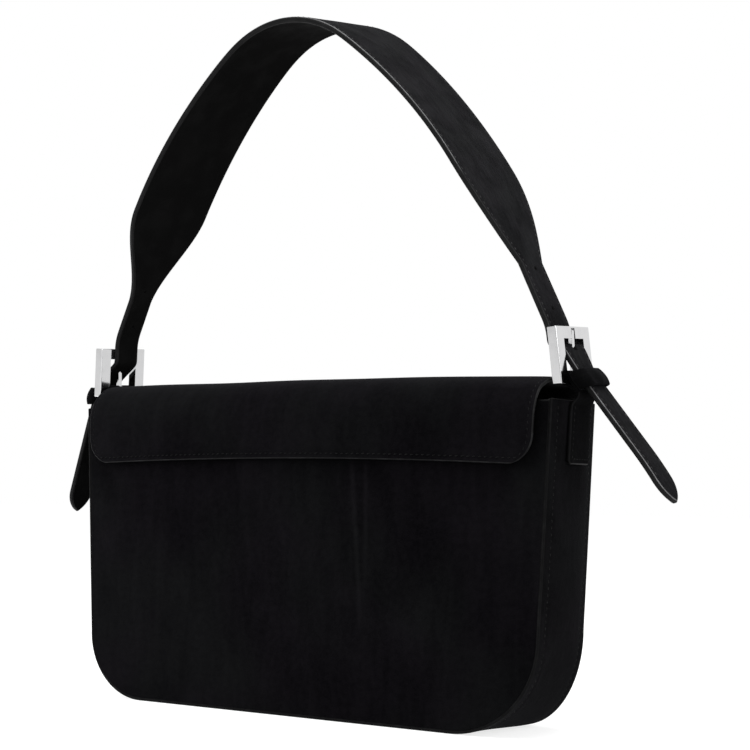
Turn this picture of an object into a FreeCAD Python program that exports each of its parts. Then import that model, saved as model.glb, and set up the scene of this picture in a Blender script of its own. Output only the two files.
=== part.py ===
"""Baguette shoulder bag: sewn suede body, roll-over flap, buckled leather strap.

X runs along the bag's width, Y from front to back and Z up. The origin is in
the middle of the base, on the surface that the bag stands on.
"""
import FreeCAD, Part
import math
import os

V = FreeCAD.Vector
X_AXIS = V(1, 0, 0)
Y_AXIS = V(0, 1, 0)
ORIGIN = V(0, 0, 0)

# Body: a U-shaped gusset strip between a front and a back panel
MOUTH_WIDTH = 268.0
BASE_WIDTH = 252.0
GUSSET_HEIGHT = 147.0
DEPTH = 46.5
BASE_CORNER_RADIUS = 38.0
GUSSET_LEATHER = 1.6
PANEL_LEATHER = 1.4
BOARD = 0.8
LINING = 0.7
PANEL_INSET = 0.4
SEAM_GAP = 0.05
BACK_RISE = 3.0

# Slip pocket on the back lining
POCKET_WIDTH = 150.0
POCKET_HEIGHT = 85.0
POCKET_TOP_DROP = 24.0
POCKET_LEATHER = 0.7
POCKET_SLACK = 0.9
POCKET_SEAM = 3.0

# Flap: sewn along the top of the back panel, rolled over the mouth
FLAP_SIDE_INSET = 4.4
FLAP_TAPER = 2.2
FLAP_TOP_RISE = 13.0
FLAP_DROP = 41.0
FLAP_ARCH = 2.2
FLAP_CORNER_RADIUS = 13.0
FLAP_FRONT_ROLL = 21.0
FLAP_BACK_ROLL = 9.0
FLAP_LEATHER = 1.4
FLAP_BOARD = 0.8
FLAP_LINING = 0.8
FLAP_BOARD_MARGIN = 15.0
FLAP_BOARD_HEM = 2.5
FLAP_HINGE_GAP = 0.3
FLAP_HINGE_OFFSET = 0.2

# Magnetic snap between the flap and the front panel
SNAP_RADIUS = 6.0
SNAP_WASHER_RADIUS = 6.6
SNAP_UP_FROM_HEM = 11.5
SNAP_MAGNET = 1.6
SNAP_PLATE = 1.1
SNAP_GAP = 0.2
SNAP_LEG_WIDTH = 2.4
SNAP_LEG_THICKNESS = 0.6
SNAP_LEG_SPACING = 7.0
SNAP_LEG_CLEARANCE = 0.1

# Strap: two leather plies, wide over the shoulder, narrow at the buckles
STRAP_WIDE = 53.2
STRAP_NARROW = 15.5
STRAP_OUTER = 1.35
STRAP_LINING = 1.3
STRAP_GLUE_LINE = 0.1
STRAP_LEAN_DEG = 4.25
STRAP_CROWN_TILT_DEG = 5.3
STRAP_PEAK_RISE = 198.0
STRAP_CROWN_RADIUS = 50.0
STRAP_SHOULDER_RISE = 128.0
STRAP_SHOULDER_SPAN = 165.4
STRAP_SHOULDER_RADIUS = 318.0
STRAP_FOOT_RADIUS = 25.0
STRAP_RUN_SPARE = 0.2
STRAP_NARROW_RUN = 21.0
STRAP_FLARE = 56.0
STRAP_SECTIONS = 33
STRAP_HOLE_RADIUS = 1.5
STRAP_HOLE_PITCH = 20.0
STRAP_FIRST_HOLE = 8.0
STRAP_BEND_RADIUS = 2.5
STRAP_TURN_RADIUS = 4.0
STRAP_DIVE_DEG = 20.0
TAIL_LENGTH = 71.3
TAIL_POINT = 10.5
TAIL_ANGLE_RIGHT_DEG = 37.2
TAIL_ANGLE_LEFT_DEG = 20.0

# Buckle frames: a flat polished frame over a round bar
BUCKLE_SIDE_BAR = 7.0
BUCKLE_TOP_BAR = 5.5
BUCKLE_THICKNESS = 4.5
BUCKLE_WINDOW_HEIGHT = 15.3
BUCKLE_FOOT = 2.6
BUCKLE_BAR_RADIUS = 2.0
BUCKLE_EDGE_RADIUS = 0.5
BUCKLE_LEAN_DEG = 4.85
BUCKLE_BAR_INSET = 0.75
BUCKLE_BAR_RISE = 10.7
STRAP_SIDE_CLEARANCE = 2.2
STRAP_BAR_CLEARANCE = 0.5
TAIL_CLEARANCE_RIGHT = 1.5
TAIL_CLEARANCE_LEFT = 4.2

# Prong
PRONG_WIDTH = 2.4
PRONG_THICKNESS = 1.7
PRONG_RING_WALL = 1.04
PRONG_RING_WIDTH = 3.2
PRONG_RUNNING_CLEARANCE = 0.06
PRONG_TILT_DEG = 3.6
PRONG_LIFT_DEG = 5.0
PRONG_TIP_GAP = 1.4
NOTCH_CLEARANCE = 0.6
NOTCH_FLOOR_GAP = 0.2
PRONG_SLOT_CLEARANCE = 0.4

# Anchor tabs: a patch sewn to each gusset end and a loop round the buckle's bar
TAB_WIDTH = 20.4
TAB_DROP = 27.5
TAB_SHOULDER = 2.5
TAB_THICKNESS = 2.4
TAB_CORNER_RADIUS = 2.0
TAB_TOP_RISE = 0.2
TAB_PLY = 1.2
LOOP_WIDTH = 13.0
LOOP_BAR_CLEARANCE = 0.15
LOOP_FOOT_GAP = 0.3
PRONG_SIDE_CLEARANCE = 0.3

# Keepers: loops that hold the strap's tails
KEEPER_LENGTH = 10.0
KEEPER_WALL = 1.2
KEEPER_SIDE_CLEARANCE = 0.3
KEEPER_INNER_CLEARANCE = 0.2
KEEPER_OUTER_CLEARANCE = 0.35
KEEPER_CORNER_RADIUS = 1.2
KEEPER_BELOW_BAR = 4.0

# Places worked out from the sizes above
SIDE_ANGLE = math.atan2((MOUTH_WIDTH - BASE_WIDTH) / 2, GUSSET_HEIGHT)
HALF_DEPTH = DEPTH / 2
FRONT_FACE = -HALF_DEPTH + PANEL_INSET
BACK_TOP = GUSSET_HEIGHT + BACK_RISE
WALL = PANEL_LEATHER + BOARD + LINING
FLAP_TOP = GUSSET_HEIGHT + FLAP_TOP_RISE
FLAP_HEM = FLAP_TOP - FLAP_DROP
FLAP_THICKNESS = FLAP_LEATHER + FLAP_BOARD + FLAP_LINING
FLAP_INNER_FRONT = FRONT_FACE - SNAP_MAGNET - SNAP_GAP - SNAP_PLATE
FLAP_FRONT = FLAP_INNER_FRONT - FLAP_THICKNESS
SNAP_Z = FLAP_HEM + SNAP_UP_FROM_HEM
STRAP_THICKNESS = STRAP_OUTER + STRAP_LINING
BAR_X = MOUTH_WIDTH / 2 - BUCKLE_BAR_INSET
BAR_Z = GUSSET_HEIGHT + BUCKLE_BAR_RISE
SWING_Z = GUSSET_HEIGHT + TAB_TOP_RISE + LOOP_FOOT_GAP + LOOP_WIDTH / 2
BUCKLE_LEAN = math.radians(BUCKLE_LEAN_DEG)
WINDOW_WIDTH = STRAP_NARROW + 2 * STRAP_SIDE_CLEARANCE
WINDOW_TOP = BUCKLE_WINDOW_HEIGHT + BUCKLE_BAR_RADIUS
BUCKLE_TOP = WINDOW_TOP + BUCKLE_TOP_BAR
BUCKLE_WIDTH = WINDOW_WIDTH + 2 * BUCKLE_SIDE_BAR
LOOP_RADIUS = BUCKLE_BAR_RADIUS + LOOP_BAR_CLEARANCE + TAB_PLY
PRONG_LENGTH = BUCKLE_TOP - PRONG_TIP_GAP
# Each tail: its angle from upright and how far its middle line stands off the bar
TAIL_RIGHT = (TAIL_ANGLE_RIGHT_DEG, LOOP_RADIUS + STRAP_THICKNESS / 2 + TAIL_CLEARANCE_RIGHT)
TAIL_LEFT = (TAIL_ANGLE_LEFT_DEG, LOOP_RADIUS + STRAP_THICKNESS / 2 + TAIL_CLEARANCE_LEFT)


def box(x_low, x_high, y_low, y_high, z_low, z_high):
    """Box between two corners."""
    size = (x_high - x_low, y_high - y_low, z_high - z_low)
    return Part.makeBox(*size, V(x_low, y_low, z_low))


def line(start, end):
    """Straight edge between two points."""
    return Part.LineSegment(start, end).toShape()


def arc(start, middle, end):
    """Arc edge through three points."""
    return Part.Arc(start, middle, end).toShape()


def prism(edges, direction):
    """Solid swept from a closed flat outline along a direction."""
    return Part.Face(Part.Wire(edges)).extrude(direction)


def mirrored(shape):
    """The same piece on the bag's left side."""
    return shape.mirror(ORIGIN, X_AXIS)


# Body pieces

def tub(inset, top, y_low, y_high):
    """Block with the bag's front outline, set in from the sides and the base."""
    radius = BASE_CORNER_RADIUS - inset
    sine, cosine = math.sin(SIDE_ANGLE), math.cos(SIDE_ANGLE)
    centre_x = BASE_WIDTH / 2 + BASE_CORNER_RADIUS * (sine - 1) / cosine
    centre_z = BASE_CORNER_RADIUS
    half_turn = (math.pi / 2 + SIDE_ANGLE) / 2

    def corner(angle, side):
        x = centre_x + radius * math.cos(angle)
        return V(side * x, y_low, centre_z + radius * math.sin(angle))

    def side_point(z, side):
        x = BASE_WIDTH / 2 + z * math.tan(SIDE_ANGLE) - inset / cosine
        return V(side * x, y_low, z)

    edges = [line(corner(-math.pi / 2, -1), corner(-math.pi / 2, 1))]
    edges.append(arc(corner(-math.pi / 2, 1), corner(-half_turn, 1), corner(-SIDE_ANGLE, 1)))
    edges.append(line(corner(-SIDE_ANGLE, 1), side_point(top, 1)))
    edges.append(line(side_point(top, 1), side_point(top, -1)))
    edges.append(line(side_point(top, -1), corner(-SIDE_ANGLE, -1)))
    edges.append(arc(corner(-SIDE_ANGLE, -1), corner(-half_turn, -1), corner(-math.pi / 2, -1)))
    return prism(edges, V(0, y_high - y_low, 0))


def u_strip(outer, thickness, y_low, y_high):
    """Strip of one thickness round the sides and base, open at the mouth."""
    block = tub(outer, GUSSET_HEIGHT, y_low, y_high)
    room = 1.0
    inside = tub(outer + thickness, GUSSET_HEIGHT + room, y_low - room, y_high + room)
    return block.cut(inside)


def snap_legs(y_low, y_high, spare=0.0):
    """The snap's two bent legs, or with spare the slots that they pass through."""
    half_width = SNAP_LEG_WIDTH / 2 + spare
    half_thickness = SNAP_LEG_THICKNESS / 2 + spare
    legs = []
    for side in (-1, 1):
        x = side * SNAP_LEG_SPACING / 2
        legs.append(box(x - half_thickness, x + half_thickness, y_low, y_high,
                        SNAP_Z - half_width, SNAP_Z + half_width))
    return legs[0].fuse(legs[1])


def snap_disc(radius, y_low, y_high):
    """Disc of the snap, facing forward."""
    return Part.makeCylinder(radius, y_high - y_low, V(0, y_low, SNAP_Z), Y_AXIS)


def build_body():
    """Panels, gusset, boards, linings and pocket."""
    inside = GUSSET_LEATHER + SEAM_GAP
    front_board_y = FRONT_FACE + PANEL_LEATHER
    front_lining_y = front_board_y + BOARD
    front_inside_y = front_lining_y + LINING
    slots = snap_legs(FRONT_FACE, front_lining_y, SNAP_LEG_CLEARANCE)
    washer_hole = snap_disc(SNAP_WASHER_RADIUS, front_board_y, front_lining_y)
    parts = {}
    parts["gusset"] = u_strip(0.0, GUSSET_LEATHER, -HALF_DEPTH, HALF_DEPTH)
    parts["front_panel"] = tub(inside, GUSSET_HEIGHT, FRONT_FACE, front_board_y).cut(slots)
    parts["front_board"] = tub(inside, GUSSET_HEIGHT, front_board_y, front_lining_y).cut(washer_hole)
    parts["front_lining"] = tub(inside, GUSSET_HEIGHT, front_lining_y, front_inside_y)
    parts["back_panel"] = tub(inside, BACK_TOP, -FRONT_FACE - PANEL_LEATHER, -FRONT_FACE)
    parts["back_board"] = tub(inside, BACK_TOP, -front_lining_y, -front_board_y)
    parts["back_lining"] = tub(inside, BACK_TOP, -front_inside_y, -front_lining_y)
    parts["gusset_board"] = u_strip(inside, BOARD, front_inside_y, -front_inside_y)
    lining_inset = inside + BOARD + SEAM_GAP
    parts["gusset_lining"] = u_strip(lining_inset, LINING, front_inside_y, -front_inside_y)
    parts["slip_pocket"] = build_pocket(-front_inside_y)
    magnet = snap_disc(SNAP_RADIUS, FRONT_FACE - SNAP_MAGNET, FRONT_FACE)
    parts["snap_magnet"] = magnet.fuse(snap_legs(FRONT_FACE, front_lining_y))
    washer = snap_disc(SNAP_WASHER_RADIUS - SEAM_GAP, front_board_y, front_lining_y)
    parts["snap_magnet_washer"] = washer.cut(slots)
    return parts


def build_pocket(back_y):
    """Flat pocket sewn to the back lining on three sides, open at the top."""
    top = GUSSET_HEIGHT - POCKET_TOP_DROP
    low = top - POCKET_HEIGHT
    half = POCKET_WIDTH / 2
    front_y = back_y - POCKET_LEATHER - POCKET_SLACK
    outside = box(-half, half, front_y, back_y, low, top)
    cavity = box(-half + POCKET_SEAM, half - POCKET_SEAM, front_y + POCKET_LEATHER, back_y,
                 low + POCKET_SEAM, top)
    return outside.cut(cavity)


# Flap pieces

def flap_profile(depth):
    """Points of the flap's side view, set in from its outer face by a depth."""
    front = FLAP_FRONT + depth
    back = HALF_DEPTH - depth
    top = FLAP_TOP - depth
    roll_front = FLAP_FRONT_ROLL - depth
    roll_back = FLAP_BACK_ROLL - depth
    ease = 1 - math.sqrt(0.5)

    def point(y, z):
        return V(0, y, z)

    return {
        "back_low": point(back, BACK_TOP + FLAP_HINGE_GAP),
        "back_high": point(back, top - roll_back),
        "back_bend": point(back - roll_back * ease, top - roll_back * ease),
        "top_back": point(back - roll_back, top),
        "top_front": point(front + roll_front, top),
        "front_bend": point(front + roll_front * ease, top - roll_front * ease),
        "front_high": point(front, top - roll_front),
        "front_low": point(front, FLAP_HEM),
    }


def flap_edges(p):
    """Edges of one face of the flap's side view, from the back seam to the hem."""
    return [line(p["back_low"], p["back_high"]),
            arc(p["back_high"], p["back_bend"], p["top_back"]),
            line(p["top_back"], p["top_front"]),
            arc(p["top_front"], p["front_bend"], p["front_high"]),
            line(p["front_high"], p["front_low"])]


def flap_outline(side_margin, hem_margin):
    """Block with the flap's front outline: tapered sides, round corners, arched hem."""
    half_top = MOUTH_WIDTH / 2 - FLAP_SIDE_INSET - side_margin
    half_hem = half_top - FLAP_TAPER
    hem = FLAP_HEM + hem_margin
    roof = FLAP_TOP + FLAP_TOP_RISE
    y_low = FLAP_FRONT - FLAP_THICKNESS
    radius = FLAP_CORNER_RADIUS
    corner_x = half_hem - radius
    corner_z = hem + radius
    slant = radius * math.sqrt(0.5)

    def point(x, z):
        return V(x, y_low, z)

    edges = [arc(point(-corner_x, hem), point(0, hem + FLAP_ARCH), point(corner_x, hem)),
             arc(point(corner_x, hem), point(corner_x + slant, corner_z - slant), point(half_hem, corner_z)),
             line(point(half_hem, corner_z), point(half_top, roof)),
             line(point(half_top, roof), point(-half_top, roof)),
             line(point(-half_top, roof), point(-half_hem, corner_z)),
             arc(point(-half_hem, corner_z), point(-corner_x - slant, corner_z - slant), point(-corner_x, hem))]
    return prism(edges, V(0, HALF_DEPTH + FLAP_THICKNESS - y_low, 0))


def flap_ply(depth, thickness, side_margin=0.0, hem_margin=0.0):
    """One ply of the flap, between two depths below its outer face."""
    outer, inner = flap_profile(depth), flap_profile(depth + thickness)
    edges = flap_edges(outer)
    edges.append(line(outer["front_low"], inner["front_low"]))
    edges += reversed(flap_edges(inner))
    edges.append(line(inner["back_low"], outer["back_low"]))
    sheet = prism(edges, V(MOUTH_WIDTH, 0, 0))
    sheet.translate(V(-MOUTH_WIDTH / 2, 0, 0))
    return sheet.common(flap_outline(side_margin, hem_margin))


def build_flap():
    """Outer leather, board, lining and the steel plate that the magnet holds."""
    board_face = FLAP_FRONT + FLAP_LEATHER
    lining_face = board_face + FLAP_BOARD
    slots = snap_legs(board_face, FLAP_INNER_FRONT, SNAP_LEG_CLEARANCE)
    washer_hole = snap_disc(SNAP_WASHER_RADIUS, board_face, lining_face)
    board = flap_ply(FLAP_LEATHER, FLAP_BOARD, FLAP_BOARD_MARGIN, FLAP_BOARD_HEM)
    lining = flap_ply(FLAP_LEATHER + FLAP_BOARD, FLAP_LINING)
    plate = snap_disc(SNAP_RADIUS, FLAP_INNER_FRONT, FLAP_INNER_FRONT + SNAP_PLATE)
    washer = snap_disc(SNAP_WASHER_RADIUS - SEAM_GAP, board_face, lining_face)
    return {
        "flap_outer": flap_ply(0.0, FLAP_LEATHER),
        "flap_board": board.cut(washer_hole),
        "flap_lining": lining.cut(slots),
        "snap_plate": plate.fuse(snap_legs(board_face, FLAP_INNER_FRONT)),
        "snap_plate_washer": washer.cut(slots),
    }


# Strap path: a line through a few corner points, each rounded by its own radius

class RoundedPath:
    """Path in the XZ plane made of straight runs joined by tangent arcs."""

    def __init__(self, points, radii):
        ways = [(after - before).normalize() for before, after in zip(points, points[1:])]
        turns = [way_in.getAngle(way_out) for way_in, way_out in zip(ways, ways[1:])]
        radii = self.fitted(points, turns, radii)
        self.pieces = []
        start = points[0]
        for here, way_in, way_out, turn, radius in zip(points[1:], ways, ways[1:], turns, radii):
            reach = radius * math.tan(turn / 2)
            begin, end = here - way_in * reach, here + way_out * reach
            self.pieces.append(("run", start, begin, way_in))
            side = 1 if way_in.cross(way_out).dot(Y_AXIS) < 0 else -1
            centre = begin + self.left_of(way_in) * (radius * side)
            self.pieces.append(("bend", begin, end, centre, radius, side, turn, way_in, way_out))
            start = end
        self.pieces.append(("run", start, points[-1], ways[-1]))

    @staticmethod
    def fitted(points, turns, radii):
        """Radii made smaller where two neighbouring bends would not fit on the run between them."""
        reaches = [radius * math.tan(turn / 2) for radius, turn in zip(radii, turns)]
        shares = [1.0] * len(radii)
        for index in range(len(points) - 1):
            room = (points[index + 1] - points[index]).Length - STRAP_RUN_SPARE
            bends = [k for k in (index - 1, index) if 0 <= k < len(radii)]
            needed = sum(reaches[k] for k in bends)
            for k in bends:
                shares[k] = min(shares[k], room / needed)
        return [radius * share for radius, share in zip(radii, shares)]

    @staticmethod
    def left_of(way):
        """Direction to the left of a way, seen from the front."""
        return V(-way.z, 0, way.x)

    def edges(self, offset):
        """Edges of the path moved to its left by an offset."""
        result = []
        for piece in self.pieces:
            if piece[0] == "run":
                shift = self.left_of(piece[3]) * offset
                result.append(line(piece[1] + shift, piece[2] + shift))
                continue
            begin, end, centre, radius, side, turn, way_in, way_out = piece[1:]
            middle_way = (begin + end) * 0.5 - centre
            middle = centre + middle_way.normalize() * (radius - side * offset)
            result.append(arc(begin + self.left_of(way_in) * offset, middle,
                              end + self.left_of(way_out) * offset))
        return result

    def length(self):
        """Length along the path."""
        return sum(self.piece_length(piece) for piece in self.pieces)

    @staticmethod
    def piece_length(piece):
        """Length of one run or bend."""
        if piece[0] == "run":
            return (piece[2] - piece[1]).Length
        return piece[4] * piece[6]

    def at(self, distance):
        """Point and direction at a distance along the path."""
        for piece in self.pieces:
            span = self.piece_length(piece)
            if distance <= span or piece is self.pieces[-1]:
                break
            distance -= span
        if piece[0] == "run":
            return piece[1] + piece[3] * distance, piece[3]
        centre, radius, side, way_in = piece[3], piece[4], piece[5], piece[7]
        angle = distance / radius
        way = way_in * math.cos(angle) + self.left_of(way_in) * (side * math.sin(angle))
        return centre - self.left_of(way) * (radius * side), way


def buckle_point(out, up, y=0.0):
    """Point in the right buckle's own plane: out from the bag and up from the bar."""
    sine, cosine = math.sin(BUCKLE_LEAN), math.cos(BUCKLE_LEAN)
    return V(BAR_X + out * cosine - up * sine, y, BAR_Z + out * sine + up * cosine)


def place_on_buckle(shape):
    """Moves a piece modelled round the bar at the origin to the right buckle."""
    shape.rotate(ORIGIN, Y_AXIS, -BUCKLE_LEAN_DEG)
    shape.translate(V(BAR_X, 0, BAR_Z))
    return shape


def leaned(shape):
    """Swings a strap piece forward to where it stands."""
    shape.rotate(V(0, 0, SWING_Z), X_AXIS, STRAP_LEAN_DEG)
    return shape


def tail_turn_deg(tail):
    """Angle between a tail and its buckle's plane."""
    return tail[0] - BUCKLE_LEAN_DEG


def tail_line(tail):
    """Point of the tail's middle line beside the bar, and its direction, as (out, up)."""
    angle = math.radians(tail_turn_deg(tail))
    out, up = math.sin(angle), -math.cos(angle)
    return (-up * tail[1], out * tail[1]), (out, up)


def strap_corners(tail):
    """Corner points of the strap's right half, from the peak to the tail's tip."""
    peak = V(0, 0, SWING_Z + STRAP_PEAK_RISE)
    shoulder = V(STRAP_SHOULDER_SPAN / 2, 0, SWING_Z + STRAP_SHOULDER_RISE)
    run_out = -BUCKLE_THICKNESS / 2 - STRAP_BAR_CLEARANCE - STRAP_OUTER
    foot = buckle_point(run_out, BUCKLE_TOP + STRAP_BAR_CLEARANCE)
    dive = math.radians(STRAP_DIVE_DEG)
    under = WINDOW_TOP - STRAP_BAR_CLEARANCE - STRAP_OUTER / math.cos(dive)
    (tail_out, tail_up), (way_out, way_up) = tail_line(tail)
    # Where the dive through the window meets the tail's line
    fall = math.tan(dive)
    along = (under - fall * (tail_out - run_out) - tail_up) / (way_up + fall * way_out)
    turn_out, turn_up = tail_out + along * way_out, tail_up + along * way_up
    tip = buckle_point(tail_out + TAIL_LENGTH * way_out, tail_up + TAIL_LENGTH * way_up)
    return [peak, shoulder, foot, buckle_point(run_out, under), buckle_point(turn_out, turn_up), tip]


def narrow_start(corners):
    """Point of the leg where the strap starts to widen."""
    shoulder, foot = corners[1], corners[2]
    return foot + (shoulder - foot).normalize() * STRAP_NARROW_RUN


def strap_end(tail, low, high):
    """One ply of the right end: narrow leg, turn through the buckle and pointed tail."""
    corners = strap_corners(tail)
    points = [narrow_start(corners)] + corners[2:]
    radii = [STRAP_FOOT_RADIUS, STRAP_BEND_RADIUS, STRAP_TURN_RADIUS]
    path = RoundedPath(points, radii)
    edges = path.edges(low)
    far_edges = path.edges(high)
    edges.append(line(edges[-1].Vertexes[-1].Point, far_edges[-1].Vertexes[-1].Point))
    edges += reversed(far_edges)
    edges.append(line(far_edges[0].Vertexes[0].Point, edges[0].Vertexes[0].Point))
    ply = prism(edges, V(0, STRAP_NARROW, 0))
    ply.translate(V(0, -STRAP_NARROW / 2, 0))
    for cutter in tail_point_cutters(tail):
        ply = ply.cut(cutter)
    return ply.cut(place_on_buckle(prong_slot()))


def tail_point_cutters(tail):
    """Blocks that leave a round-sided point at the tail's tip."""
    (tail_out, tail_up), _ = tail_line(tail)
    half = STRAP_NARROW / 2
    reach = half + TAIL_POINT
    thick = STRAP_THICKNESS
    bow = 0.30 * half
    cutters = []
    for side in (-1, 1):
        start = V(-2 * thick, side * half, TAIL_POINT)
        middle = V(-2 * thick, side * (half / 2 + bow), TAIL_POINT / 2)
        end = V(-2 * thick, 0, 0)
        below = V(-2 * thick, 0, -reach)
        outer_low = V(-2 * thick, side * reach, -reach)
        outer_high = V(-2 * thick, side * reach, TAIL_POINT)
        edges = [arc(start, middle, end), line(end, below), line(below, outer_low),
                 line(outer_low, outer_high), line(outer_high, start)]
        cutter = prism(edges, V(4 * thick, 0, 0))
        # The tail points down along -Z in its own frame, with its tip at the origin
        cutter.translate(V(0, 0, -TAIL_LENGTH))
        cutter.rotate(ORIGIN, Y_AXIS, -tail_turn_deg(tail))
        cutter.translate(V(tail_out, 0, tail_up))
        cutters.append(place_on_buckle(cutter))
    return cutters


def prong_slot():
    """Hole in the strap that the prong passes and lifts in, round the bar at the origin."""
    half = PRONG_WIDTH / 2 + PRONG_SLOT_CLEARANCE
    middle = WINDOW_TOP - STRAP_THICKNESS
    low_side = middle * math.tan(math.radians(PRONG_TILT_DEG)) - PRONG_THICKNESS / 2
    lifted = math.radians(PRONG_TILT_DEG + PRONG_LIFT_DEG)
    high_side = WINDOW_TOP * math.tan(lifted) + PRONG_THICKNESS / 2
    return box(low_side - PRONG_SLOT_CLEARANCE, high_side + PRONG_SLOT_CLEARANCE,
               -half, half, BUCKLE_BAR_RADIUS + TAB_PLY, WINDOW_TOP)


def smooth_step(value):
    """0 to 1 with level ends."""
    value = min(max(value, 0.0), 1.0)
    return value * value * (3 - 2 * value)


def strap_arch(low, high):
    """One ply of the shoulder part, from narrow start to narrow start."""
    corners = strap_corners(TAIL_RIGHT)
    start = narrow_start(corners)
    mirror = [V(-p.x, 0, p.z) for p in (corners[1], start)]
    points = [start, corners[1], corners[0]] + mirror
    radii = [STRAP_SHOULDER_RADIUS, STRAP_CROWN_RADIUS, STRAP_SHOULDER_RADIUS]
    path = RoundedPath(points, radii)
    total = path.length()
    sections = []
    for index in range(STRAP_SECTIONS):
        distance = total * index / (STRAP_SECTIONS - 1)
        point, way = path.at(distance)
        from_end = min(distance, total - distance)
        flare = smooth_step(from_end / STRAP_FLARE)
        half = (STRAP_NARROW + (STRAP_WIDE - STRAP_NARROW) * flare) / 2
        crown = smooth_step((from_end - STRAP_FLARE) / (total / 2 - STRAP_FLARE))
        tilt = math.radians(STRAP_CROWN_TILT_DEG) * crown
        outward = -RoundedPath.left_of(way)
        across = Y_AXIS * math.cos(tilt) + outward * math.sin(tilt)
        normal = outward * math.cos(tilt) - Y_AXIS * math.sin(tilt)
        corner_points = [point + across * (side * half) + normal * depth
                         for side, depth in ((-1, low), (1, low), (1, high), (-1, high))]
        sections.append(Part.makePolygon(corner_points + corner_points[:1]))
    return Part.makeLoft(sections, True, False)


def strap_holes():
    """Punches for the spare adjusting holes on both legs."""
    corners = strap_corners(TAIL_RIGHT)
    shoulder, foot = corners[1], corners[2]
    up_leg = (shoulder - foot).normalize()
    through = RoundedPath.left_of(up_leg)
    reach = 4 * STRAP_THICKNESS
    punches = []
    for index in range(2):
        place = foot + up_leg * (STRAP_FIRST_HOLE + index * STRAP_HOLE_PITCH)
        punch = Part.makeCylinder(STRAP_HOLE_RADIUS, reach, place - through * (reach / 2), through)
        punches += [punch, mirrored(punch)]
    return punches


def strap_ply(outward_low, outward_high):
    """One whole ply of the strap, between two depths on its outward side."""
    right = strap_end(TAIL_RIGHT, outward_low, outward_high)
    left = mirrored(strap_end(TAIL_LEFT, outward_low, outward_high))
    ply = strap_arch(outward_low, outward_high).fuse([right, left])
    for punch in strap_holes():
        ply = ply.cut(punch)
    return leaned(ply.removeSplitter())


def build_strap():
    """Both plies of the strap."""
    half_glue = STRAP_GLUE_LINE / 2
    return {"strap_outer": strap_ply(half_glue, STRAP_OUTER),
            "strap_lining": strap_ply(-STRAP_LINING, -half_glue)}


# Buckles, prongs, tabs and keepers, each made once for the right side

def buckle_frame():
    """Flat frame with a notch for the prong, over a round bar, at the origin."""
    half_t, half_w, half_window = BUCKLE_THICKNESS / 2, BUCKLE_WIDTH / 2, WINDOW_WIDTH / 2
    block = box(-half_t, half_t, -half_w, half_w, -BUCKLE_FOOT, BUCKLE_TOP)
    block = block.makeFillet(BUCKLE_EDGE_RADIUS, block.Edges)
    window = box(-half_w, half_w, -half_window, half_window, -2 * BUCKLE_FOOT, WINDOW_TOP)
    bar = Part.makeCylinder(BUCKLE_BAR_RADIUS, WINDOW_WIDTH + BUCKLE_SIDE_BAR,
                            V(0, -half_window - BUCKLE_SIDE_BAR / 2, 0), Y_AXIS)
    half_notch = PRONG_WIDTH / 2 + NOTCH_CLEARANCE
    tip_out = PRONG_LENGTH * math.tan(math.radians(PRONG_TILT_DEG))
    floor = WINDOW_TOP * tip_out / PRONG_LENGTH - PRONG_THICKNESS / 2 - NOTCH_FLOOR_GAP
    notch = box(floor, half_w, -half_notch, half_notch, 0, PRONG_LENGTH + NOTCH_CLEARANCE)
    return place_on_buckle(block.cut(window).cut(notch).fuse(bar).removeSplitter())


def prong():
    """Prong: a ring that turns on the bar and a stem to the notch."""
    inner = BUCKLE_BAR_RADIUS + PRONG_RUNNING_CLEARANCE
    outer = inner + PRONG_RING_WALL
    half_ring = PRONG_RING_WIDTH / 2
    ring_base = V(0, -half_ring, 0)
    ring = Part.makeCylinder(outer, PRONG_RING_WIDTH, ring_base, Y_AXIS)
    bore = Part.makeCylinder(inner, PRONG_RING_WIDTH, ring_base, Y_AXIS)
    half_t, half_w = PRONG_THICKNESS / 2, PRONG_WIDTH / 2
    stem = box(-half_t, half_t, -half_w, half_w, inner, PRONG_LENGTH)
    tip = [edge for edge in stem.Edges
           if min(vertex.Z for vertex in edge.Vertexes) > PRONG_LENGTH - half_t]
    stem = stem.makeFillet(half_t * 0.8, tip)
    stem.rotate(ORIGIN, Y_AXIS, PRONG_TILT_DEG)
    return place_on_buckle(ring.fuse(stem).cut(bore).removeSplitter())


def tab_loop():
    """Leather loop round the bar, slotted for the prong, with a round foot."""
    half = LOOP_WIDTH / 2
    swing_up = (SWING_Z - BAR_Z) / math.cos(BUCKLE_LEAN)
    ring = Part.makeCylinder(LOOP_RADIUS, LOOP_WIDTH, V(0, -half, 0), Y_AXIS)
    foot = Part.makeCylinder(half, 2 * TAB_PLY, V(-TAB_PLY, 0, swing_up), X_AXIS)
    above = box(-LOOP_WIDTH, LOOP_WIDTH, -LOOP_WIDTH, LOOP_WIDTH, swing_up, LOOP_WIDTH)
    neck = box(-TAB_PLY, TAB_PLY, -half, half, swing_up, 0)
    bore = Part.makeCylinder(BUCKLE_BAR_RADIUS + LOOP_BAR_CLEARANCE, LOOP_WIDTH, V(0, -half, 0), Y_AXIS)
    half_slot = PRONG_RING_WIDTH / 2 + PRONG_SIDE_CLEARANCE
    slot = box(-LOOP_WIDTH, LOOP_WIDTH, -half_slot, half_slot, -LOOP_RADIUS, LOOP_WIDTH)
    return place_on_buckle(ring.fuse([foot.cut(above), neck]).cut(bore).cut(slot).removeSplitter())


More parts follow.
